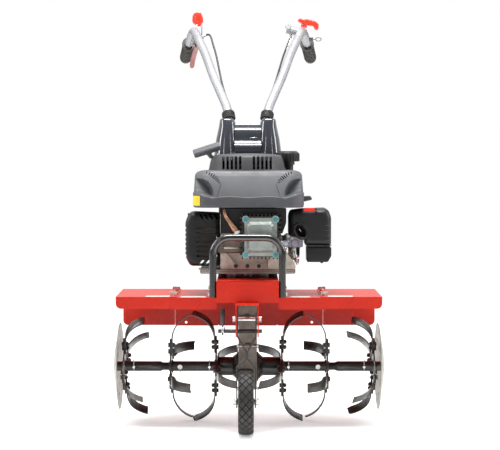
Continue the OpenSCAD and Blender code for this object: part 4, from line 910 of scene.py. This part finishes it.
def filter_case():
    upper = round_corners([(124, 600), (124, 660), (130, 676), (166, 681), (240, 683), (250, 676), (257.5,
                                            655),
                           (257.5, 566), (176, 566), (172, 591), (140, 592)], 7)
    lower = round_corners([(181, 515.5), (181, 563), (257.5, 563), (257.5, 534), (247, 515.5)], 5)
    horn_x, horn_z = 161, 613
    shape = drum_shell(upper, 46, -73, 26, 2.4)
    cutter = Shape().slab([(horn_x + 14 * math.cos(t) * 0.83 + 21 * math.sin(t) * 0.56,
                            horn_z + 14 * math.cos(t) * 0.56 - 21 * math.sin(t) * 0.83)
                           for t in (2 * math.pi * k / 40 for k in range(40))], "xz", -84, -60)
    piece("filter_shell", shape, "chassis", M["plastic"], crease=30,
          replaces=("air_filter_case",), cut=cutter)
    box = drum_shell(lower, 40, -69, 5, 2.2)
    piece("filter_base", box, "chassis", M["plastic"], crease=30)
    horn = Shape()
    rings = []
    for grow, y in ((-13.5, -44), (-3.0, -46), (0.0, -52), (0.0, -72), (0.6, -75.5), (3.0, -77.5), (6.0,
                                            -76.5), (8.4, -73), (9, -66)):
        rings.append([Vector((horn_x + (14 + grow) * math.cos(t) * 0.83 + (21 + grow) * math.sin(t) * 0.56,
                              y,
                              horn_z + (14 + grow) * math.cos(t) * 0.56 - (21 + grow) * math.sin(t) * 0.83))
                      for t in (2 * math.pi * k / 48 for k in range(48))])
    horn.loft(rings, caps=False)
    horn.loft([[p + Vector((0, 0.01, 0)) for p in rings[-1]], [p + Vector((0, 0.01, 0)) for p in rings[0]]],
              caps=False)
    piece("filter_horn", horn, "chassis", M["plastic"])
    seam = Shape().tube([(258, -40, 566.5), (252, -68, 566.5), (181, -71, 566.5)], 1.4, 8)
    seam.block((206, -73.6, 676), (212, -60, 684.5))
    seam.lathe([(4.5, 0), (4.5, 4), (2, 6)], (229, -30, 515.5), (0, 0, -1), 12)
    for z in (582, 598, 614, 630):
        seam.block((238, -73.9, z), (252, -70, z + 2))
    piece("filter_trim", seam, "chassis", M["hood"], bevel=0.5)
    latch = Shape().slab(round_corners([(168, 673.5), (174, 685), (204, 685), (210, 673.5)], 3), "xz", -70,
                         -48)
    return piece("filter_latch", latch, "chassis", M["lever_red"], bevel=1.5)


# ---- engine front ----

def crankcase_face():
    """Cast front of the crankcase with its ribs, base bosses and sloping right shoulder."""
    shape = Shape()
    body = round_corners([(-89, 493), (-89, 600), (-82, 607), (96, 607), (104, 596), (108, 560), (146, 506),
                          (146, 493)],
                         6)
    shape.slab(body, "xz", -66, 4)
    shape.slab(round_corners([(-82, 500), (-82, 552), (-66, 540), (-34, 500)], 3), "xz", -76, -60)
    shape.block((-86, -71, 500), (-82, -60, 602))
    for k in range(5):
        shape.block((-37 + 9.5 * k, -72, 592), (-33 + 9.5 * k, -60, 606))
    for x in (-41, -4.7, 31):
        shape.lathe([(9.5, 0), (9.5, 12), (7.6, 12.6), (6, 12.6), (6, 3), (0.1, 3)], (x, -64, 504), (0, -1,
                                                0), 28)
    shape.slab(round_corners([(60, 498), (60, 536), (78, 548), (96, 536), (96, 498)], 4), "xz", -80, -60)
    # Painted shade: thin black discs over the mouths of the boss holes stand for the shade inside them.
    shade_discs = Shape()
    for x in (-41, -4.7, 31):
        shade_discs.lathe([(6.6, 0), (6.6, 0.5)], (x, -76.4, 504), (0, -1, 0), 28)
    piece("bore_shade_discs", shade_discs, "chassis", M["rubber"])
    return piece("crankcase_face", shape, "chassis", M["tan_cast"], bevel=1.2)


def flange_highlight_strips():
    """Light cast strips on the front of the mounting flange: a painted highlight along its top front edge.
    """
    shape = Shape().slab(rounded(-154, 487.5, 146, 491.5, 1.6, 3), "xz", -63.5, -58)
    shape.slab(rounded(-150, 478.5, 142, 486.5, 1.6, 3), "xz", -62.0, -58)
    return piece("flange_highlight_strips", shape, "chassis", M["cast"], bevel=0.8)


def head_shroud_and_shade():
    """Black sheet shroud that guides the cooling air over the head; it also serves as painted shade, a dark
    sheet filling the shaded area under the cover.
    """
    shape = Shape()
    outline = round_corners([(-84, 606), (-84, 684), (116, 684), (116, 640), (104, 606), (88, 606), (88,
                                            662),
                             (-16, 662), (-16, 606)], 4)
    shape.slab(outline, "xz", -92, -88)
    shape.slab(round_corners([(-84, 668), (-84, 684), (116, 684), (116, 668)], 4), "xz", -90, -30)
    shape.slab(round_corners([(-84, 606), (-84, 684), (-80, 684), (-80, 606)], 2), "xz", -90, -50)
    shape.slab(round_corners([(112, 640), (112, 684), (116, 684), (116, 640)], 2), "xz", -90, -50)
    return piece("head_shroud_and_shade", shape, "chassis", M["matt_black"], bevel=0.8)


def engine_fittings():
    """Studs, governor link and drain screws round the carburettor."""
    bright = Shape()
    for x, z, r in ((122, 597, 5.5), (122, 581, 4.5), (121, 570, 4), (116, 556, 4), (135, 590, 4), (106,
                                            620, 4)):
        bright.lathe([(r, 0), (r, 5), (r * 0.8, 6.5), (0.1, 6.5)], (x, -60, z), (0, -1, 0), 6)
    bright.tube([(122, -63, 597), (121, -64, 581), (116, -63, 556)], 1.2, 8)
    bright.lathe([(6, 0), (8, 1), (8, 9), (5, 10), (5, 16), (3, 19), (0.1, 19)], (150, -8, 521), (0.25,
                                            -0.1, -1), 6)
    piece("engine_studs", bright, "chassis", M["zinc"], bevel=0.4)
    bowl = Shape().lathe([(15.5, 0), (18.6, 2), (18.6, 18), (17.8, 24), (14, 32), (8, 35), (0.1, 35)],
                         (142, -4, 557), (0, 0, -1), 40)
    bowl.lathe([(20.5, 0), (20.5, 3), (15, 3)], (142, -4, 559), (0, 0, -1), 40)
    piece("bowl_shell", bowl, "chassis", M["bowl"], bevel=0.5)
    drain = Shape().tube(smooth_path([(142, -23.5, 549), (143.5, -24, 540), (146, -22, 530), (148, -17,
                                            523)], 4), 2.0, 10)
    piece("bowl_drain", drain, "chassis", M["teal"])
    body = Shape().lathe([(11, -26), (12, -25), (12, -14), (16, -13), (16, 4), (11, 6)], (144, 0, 572), (0,
                                            1, 0), 32)
    body.slab(rounded(131, 559, 157, 588, 6, 4), "xz", -18, 10)
    return piece("carburettor_cap", body, "chassis", M["carb"], bevel=1.0)


LEAD_ROUTE = [(-55, -104, 634.8), (-66.6, -103.5, 651.2), (-73, -99, 662), (-77, -91, 676),
              (-77, -80, 690), (-72, -69, 701), (-60, -60, 708), (-46, -54, 711)]


def plug_lead():
    """Sleeved lead with its boot on the plug, and the coil under the cover."""
    shape = Shape()
    foot = Vector((-30, -104, 599.5))
    along = Vector((-math.sin(math.radians(35.3)), 0, math.cos(math.radians(35.3))))
    boot = [(17, 6.3), (17.5, 7.6), (21, 8.2), (28, 8.0), (34, 7.2), (42, 6.6), (50, 6.0), (55, 5.2)]
    shape.tube([foot + along * t for t, _ in boot], [r for _, r in boot], 24)
    route = smooth_path(LEAD_ROUTE, 5)
    shape.tube([p + Vector((-2.0, -2.2, -0.8)) for p in route], 2.9, 12)
    shape.tube([p + Vector((2.0, -2.6, 1.0)) for p in route], 2.6, 12)
    shape.tube(route, 3.0, 12)
    piece("plug_sleeve", shape, "chassis", M["copper"], replaces=("ignition_lead",))
    coil = Shape().block((-62, -56, 698), (-18, -32, 726))
    return piece("coil_block", coil, "chassis", M["plastic"], bevel=2)


# ---- controls ----

def control_cables():
    shape = Shape()
    for route in (CLUTCH_ROUTE, THROTTLE_ROUTE):
        shape.tube(smooth_path(route, 8), 3.4, 14)
    cables = piece("cable_covers", shape, "handlebars", M["cable"],
                   replaces=("control_cables",))
    ends = Shape()
    for route in (CLUTCH_ROUTE, THROTTLE_ROUTE):
        a, b = Vector(route[0]), Vector(route[1])
        along = (b - a).normalized()
        ends.lathe([(4.4, 0), (4.6, 2), (4.6, 10), (3.6, 12)], a - along * 1, along, 16)
    second = smooth_path([(152, 638, 1284), (150, 638, 1266), (143, 628, 1246), (132, 605, 1220)], 6)
    ends.tube(second, 1.6, 10)
    piece("cable_ferrules", ends, "handlebars", M["zinc"])
    return cables


def reverse_paddle():
    outline = round_corners([(-201, 1345), (-192, 1355.5), (-172, 1357), (-163, 1336), (-163, 1321), (-171,
                                            1311),
                             (-192, 1311), (-202, 1321)], 6)
    shape = Shape()
    rings = []
    for y, amount in ((651, 3.0), (650, 1.0), (648, 0.0), (645, 0.0), (643, 1.0), (642, 3.0)):
        rings.append([Vector((x, y, z)) for x, z in shrink(outline, amount)])
    shape.loft(rings)
    shape.block((-184, 632, 1306), (-172, 643, 1322))
    return piece("reverse_paddle", shape, "reverse_lever", M["lever_red"], bevel=0.8,
                 replaces=("reverse_lever",), crease=40)


def squeeze_lever():
    shape = Shape()
    path = smooth_path([(CX - 180, 637, 1235), (CX - 186, 670, 1226), (CX - 192, 706, 1213), (CX - 197, 740,
                                            1201),
                        (CX - 202, 772, 1185), (CX - 205, 803, 1169)], 6)
    rings = []
    for i, p in enumerate(path):
        t = i / (len(path) - 1)
        half = 9.0 - 3.0 * max(0, t - 0.9) * 10
        deep = 4.6 - 2.0 * t
        rings.append([p + Vector((half * math.cos(a), 0.35 * deep * math.sin(a), deep * math.sin(a)))
                      for a in (2 * math.pi * k / 20 for k in range(20))])
    shape.loft(rings)
    shape.tube([(CX - 189.5, 634, 1238), (CX - 170.5, 634, 1238)], 8, 28)
    return piece("squeeze_lever", shape, "clutch_lever", M["lever_brown"], bevel=0.5,
                 replaces=("clutch_lever",))


def thumb_lever():
    """Throttle thumb lever: a bent blade with a round hub."""
    turn = Matrix.Translation((198, 663, 1320)) @ Matrix.Rotation(math.radians(14), 4, "Y")
    outline = round_corners([(-27, 0), (-22, 12), (-6, 9), (2, 15), (34, 15), (50, 8), (53, -12), (44, -16),
                             (34, -4),
                             (10, -6), (-8, -6)], 5)
    rings = []
    for y, amount in ((15, 4), (12, 1.2), (8, 0), (-8, 0), (-12, 1.2), (-15, 4)):
        rings.append([Vector((x, y, z)) for x, z in shrink(outline, amount)])
    blade = Shape().loft(rings).moved(turn)
    piece("thumb_lever", blade, "throttle_lever", M["lever_red"], bevel=1.2,
          replaces=("throttle_lever",), crease=40)
    hub = Shape()
    hub.lathe([(10, -16), (11, -15), (11, -8), (8, -7)], (198, 663, 1320), (math.sin(0.244), 0,
                                            math.cos(0.244)), 24)
    return piece("thumb_hub", hub, "throttle_lever", M["lever_red"])


def bar_fittings():
    """Clamps, ears, pins and the small wire ring on the bars."""
    clamps = Shape()
    clamps.tube([(-190, 634, 1268), (-186, 634, 1268), (-166, 634, 1268), (-161, 634, 1268)], [6, 8, 8,
                                            6.6], 28)
    clamps.tube([(133, 640, 1296), (135, 640, 1295.6), (160, 640, 1289), (190, 640, 1282)], [12, 15, 15,
                                            13], 32)
    clamps.tube([(139, 624, 1304), (139, 628, 1303)], [9, 11], 24)
    clamps.block((-201, 627, 1229), (-197.5, 640, 1274))
    clamps.block((-173.5, 627, 1229), (-170, 640, 1272))
    clamps.block((-170, 627, 1264), (-166, 639.5, 1316))
    piece("bar_clamps", clamps, "handlebars", M["grey_clamp"], bevel=0.6)
    pins = Shape()
    pins.tube([(-201, 634, 1238), (-170, 634, 1238)], 3, 16)
    pins.tube([(-186, 636, 1309), (-166, 636, 1309)], 2.5, 16)
    slant = Vector((math.sin(math.radians(14)), 0, math.cos(math.radians(14))))
    post = Vector((198, 663, 1320))
    pins.tube([post - slant * 26, post - slant * 2], 4, 16)
    pins.block((183, 656, 1278), (206, 668, 1296))
    piece("bar_pins", pins, "handlebars", M["zinc"], bevel=0.3)
    wire = Shape()
    loop = [(226, 664, 1262)]
    for k in range(25):
        a = math.pi + 2 * math.pi * k / 24
        loop.append((247 + 10 * math.cos(a), 664, 1262 + 6 * math.sin(a)))
    wire.tube(loop, 1.4, 8)
    wire.tube(smooth_path([(219, 690, 1226), (226, 700, 1212), (236, 712, 1190)], 5), 1.1, 8)
    wire.block((214, 656, 1256), (228, 670, 1268))
    return piece("bar_wire", wire, "handlebars", M["dark_wire"], bevel=0.3)


def foot_collars():
    """Ribbed rubber collars at the feet of the tubes."""
    shape = Shape()
    for side in (1, -1):
        path = bar_path(side)
        foot = path[0]
        along = (path[6] - foot).normalized()
        profile = [(15.2, 3), (20.5, 3), (21.5, 5)]
        for k in range(5):
            profile += [(22, 6 + 4.6 * k), (22, 8.6 + 4.6 * k), (20.6, 9.2 + 4.6 * k), (20.6,
                                                    10.2 + 4.6 * k)]
        profile += [(21, 29), (20, 31), (15.2, 31)]
        shape.lathe(profile, foot, along, 40)
    return piece("foot_collars", shape, "handlebars", M["rubber"], replaces=("bar_collars",))


def fender_labels():
    """Blank stickers on the fender tops."""
    top = span("outer_fender_left", 2)[1]
    shape = Shape()
    for x0, x1, z in ((-320, -246, top), (-212, -134, top - 2), (129, 190, top - 2), (244, 322, top)):
        shape.slab(rounded(x0, -121, x1, -88, 3, 4), "xy", z + 0.02, z + 0.35)
    return piece("fender_labels", shape, "chassis", M["label_white"])


engine_cover()
cover_label()
cover_trim()
cover_fin()
hood()
starter_drum()
pull_handle()
column()
column_foot()
column_highlight_strip()
tyre()
pull_spring()
handlebars()
muffler_guard()
guard_strip()
filter_case()
crankcase_face()
flange_highlight_strips()
head_shroud_and_shade()
engine_fittings()
plug_lead()
control_cables()
reverse_paddle()
squeeze_lever()
thumb_lever()
bar_fittings()
foot_collars()
fender_labels()

# ---- stage ----

scene = bpy.context.scene
scene.view_settings.view_transform = "Standard"

FLOOR_GLOW = 0.30  # keeps the floor as white as the backdrop

floor_mesh = bpy.data.meshes.new("floor")
floor_mesh.from_pydata([(-8, -8, 0), (8, -8, 0), (8, 8, 0), (-8, 8, 0)], [], [(0, 1, 2, 3)])
floor = bpy.data.objects.new("floor", floor_mesh)
scene.collection.objects.link(floor)
floor.location.z = -0.0005
floor_mesh.materials.append(surface("pale_floor", (0.95, 0.95, 0.945), 0.8, vary=0.005, vary_scale=3,
                                    bump=0.02))
floor_shader = floor_mesh.materials[0].node_tree.nodes["Principled BSDF"]
floor_shader.inputs["Emission Color"].default_value = (1, 1, 1, 1)
floor_shader.inputs["Emission Strength"].default_value = FLOOR_GLOW


def by_direction(tree, component, ramp):
    """Drives a ramp with one component of the direction, moved from -1..1 to 0..1."""
    node = tree.nodes.new("ShaderNodeMath")
    node.operation = "MULTIPLY_ADD"
    node.inputs[1].default_value = 0.5
    node.inputs[2].default_value = 0.5
    tree.links.new(component, node.inputs[0])
    tree.links.new(node.outputs[0], ramp.inputs["Fac"])


def studio_world():
    """White backdrop for the camera; for the light, bright above and behind and dim in front."""
    world = bpy.data.worlds.new("studio")
    world.use_nodes = True
    tree = world.node_tree
    background = tree.nodes["Background"]
    coords = tree.nodes.new("ShaderNodeTexCoord")
    split = tree.nodes.new("ShaderNodeSeparateXYZ")
    tree.links.new(coords.outputs["Generated"], split.inputs[0])
    height = ramp_node(tree, [(0.0, 0.55), (0.5, 0.42), (0.62, 0.75), (0.85, 1.5)])
    by_direction(tree, split.outputs["Z"], height)
    depth = ramp_node(tree, [(0.15, 0.14), (0.5, 0.50), (0.8, 1.0)])
    by_direction(tree, split.outputs["Y"], depth)
    both = tree.nodes.new("ShaderNodeMath")
    both.operation = "MULTIPLY"
    tree.links.new(height.outputs["Color"], both.inputs[0])
    tree.links.new(depth.outputs["Color"], both.inputs[1])
    seen = tree.nodes.new("ShaderNodeLightPath")
    choose = tree.nodes.new("ShaderNodeMix")
    choose.inputs[3].default_value = 1.0
    tree.links.new(seen.outputs["Is Camera Ray"], choose.inputs[0])
    tree.links.new(both.outputs[0], choose.inputs[2])
    background.inputs["Color"].default_value = (1.0, 1.0, 1.0, 1)
    tree.links.new(choose.outputs[0], background.inputs["Strength"])
    bpy.context.scene.world = world


studio_world()


def softbox(name, place, target, size, power, color=(1, 1, 1)):
    data = bpy.data.lights.new(name, "AREA")
    data.shape = "RECTANGLE"
    data.size, data.size_y = size
    data.energy = power
    data.color = color
    obj = bpy.data.objects.new(name, data)
    scene.collection.objects.link(obj)
    obj.location = place
    obj.rotation_euler = (Vector(target) - Vector(place)).to_track_quat("-Z", "Y").to_euler()
    return obj


softbox("top_light", (0, -0.5, 3.0), (0, 0, 0.6), (1.6, 0.7), 120)
softbox("left_light", (-2.6, -0.5, 1.9), (0, -0.1, 0.6), (0.6, 1.6), 40)
softbox("right_light", (2.6, -0.4, 1.7), (0, -0.1, 0.6), (0.6, 1.6), 32)

softbox("strip_left", (-1.3, -3.0, 1.5), (0, 0, 0.8), (0.14, 1.3), 7)
softbox("strip_right", (1.5, -2.8, 1.5), (0, 0, 0.8), (0.14, 1.3), 6)

SENSOR_MM, LENS_MM = 36, 113.904
CAMERA_AWAY, CAMERA_HIGH = 5000, 850  # millimetres, from the rotor shaft and above the ground
CAMERA_DIP = 2.534  # degrees below level

camera_data = bpy.data.cameras.new("camera")
camera_data.sensor_width = SENSOR_MM
camera_data.lens = LENS_MM
camera = bpy.data.objects.new("camera", camera_data)
scene.collection.objects.link(camera)
camera.location = at(3.2, -CAMERA_AWAY, CAMERA_HIGH)
camera.rotation_euler = (math.radians(90 - CAMERA_DIP), 0, 0)
scene.camera = camera
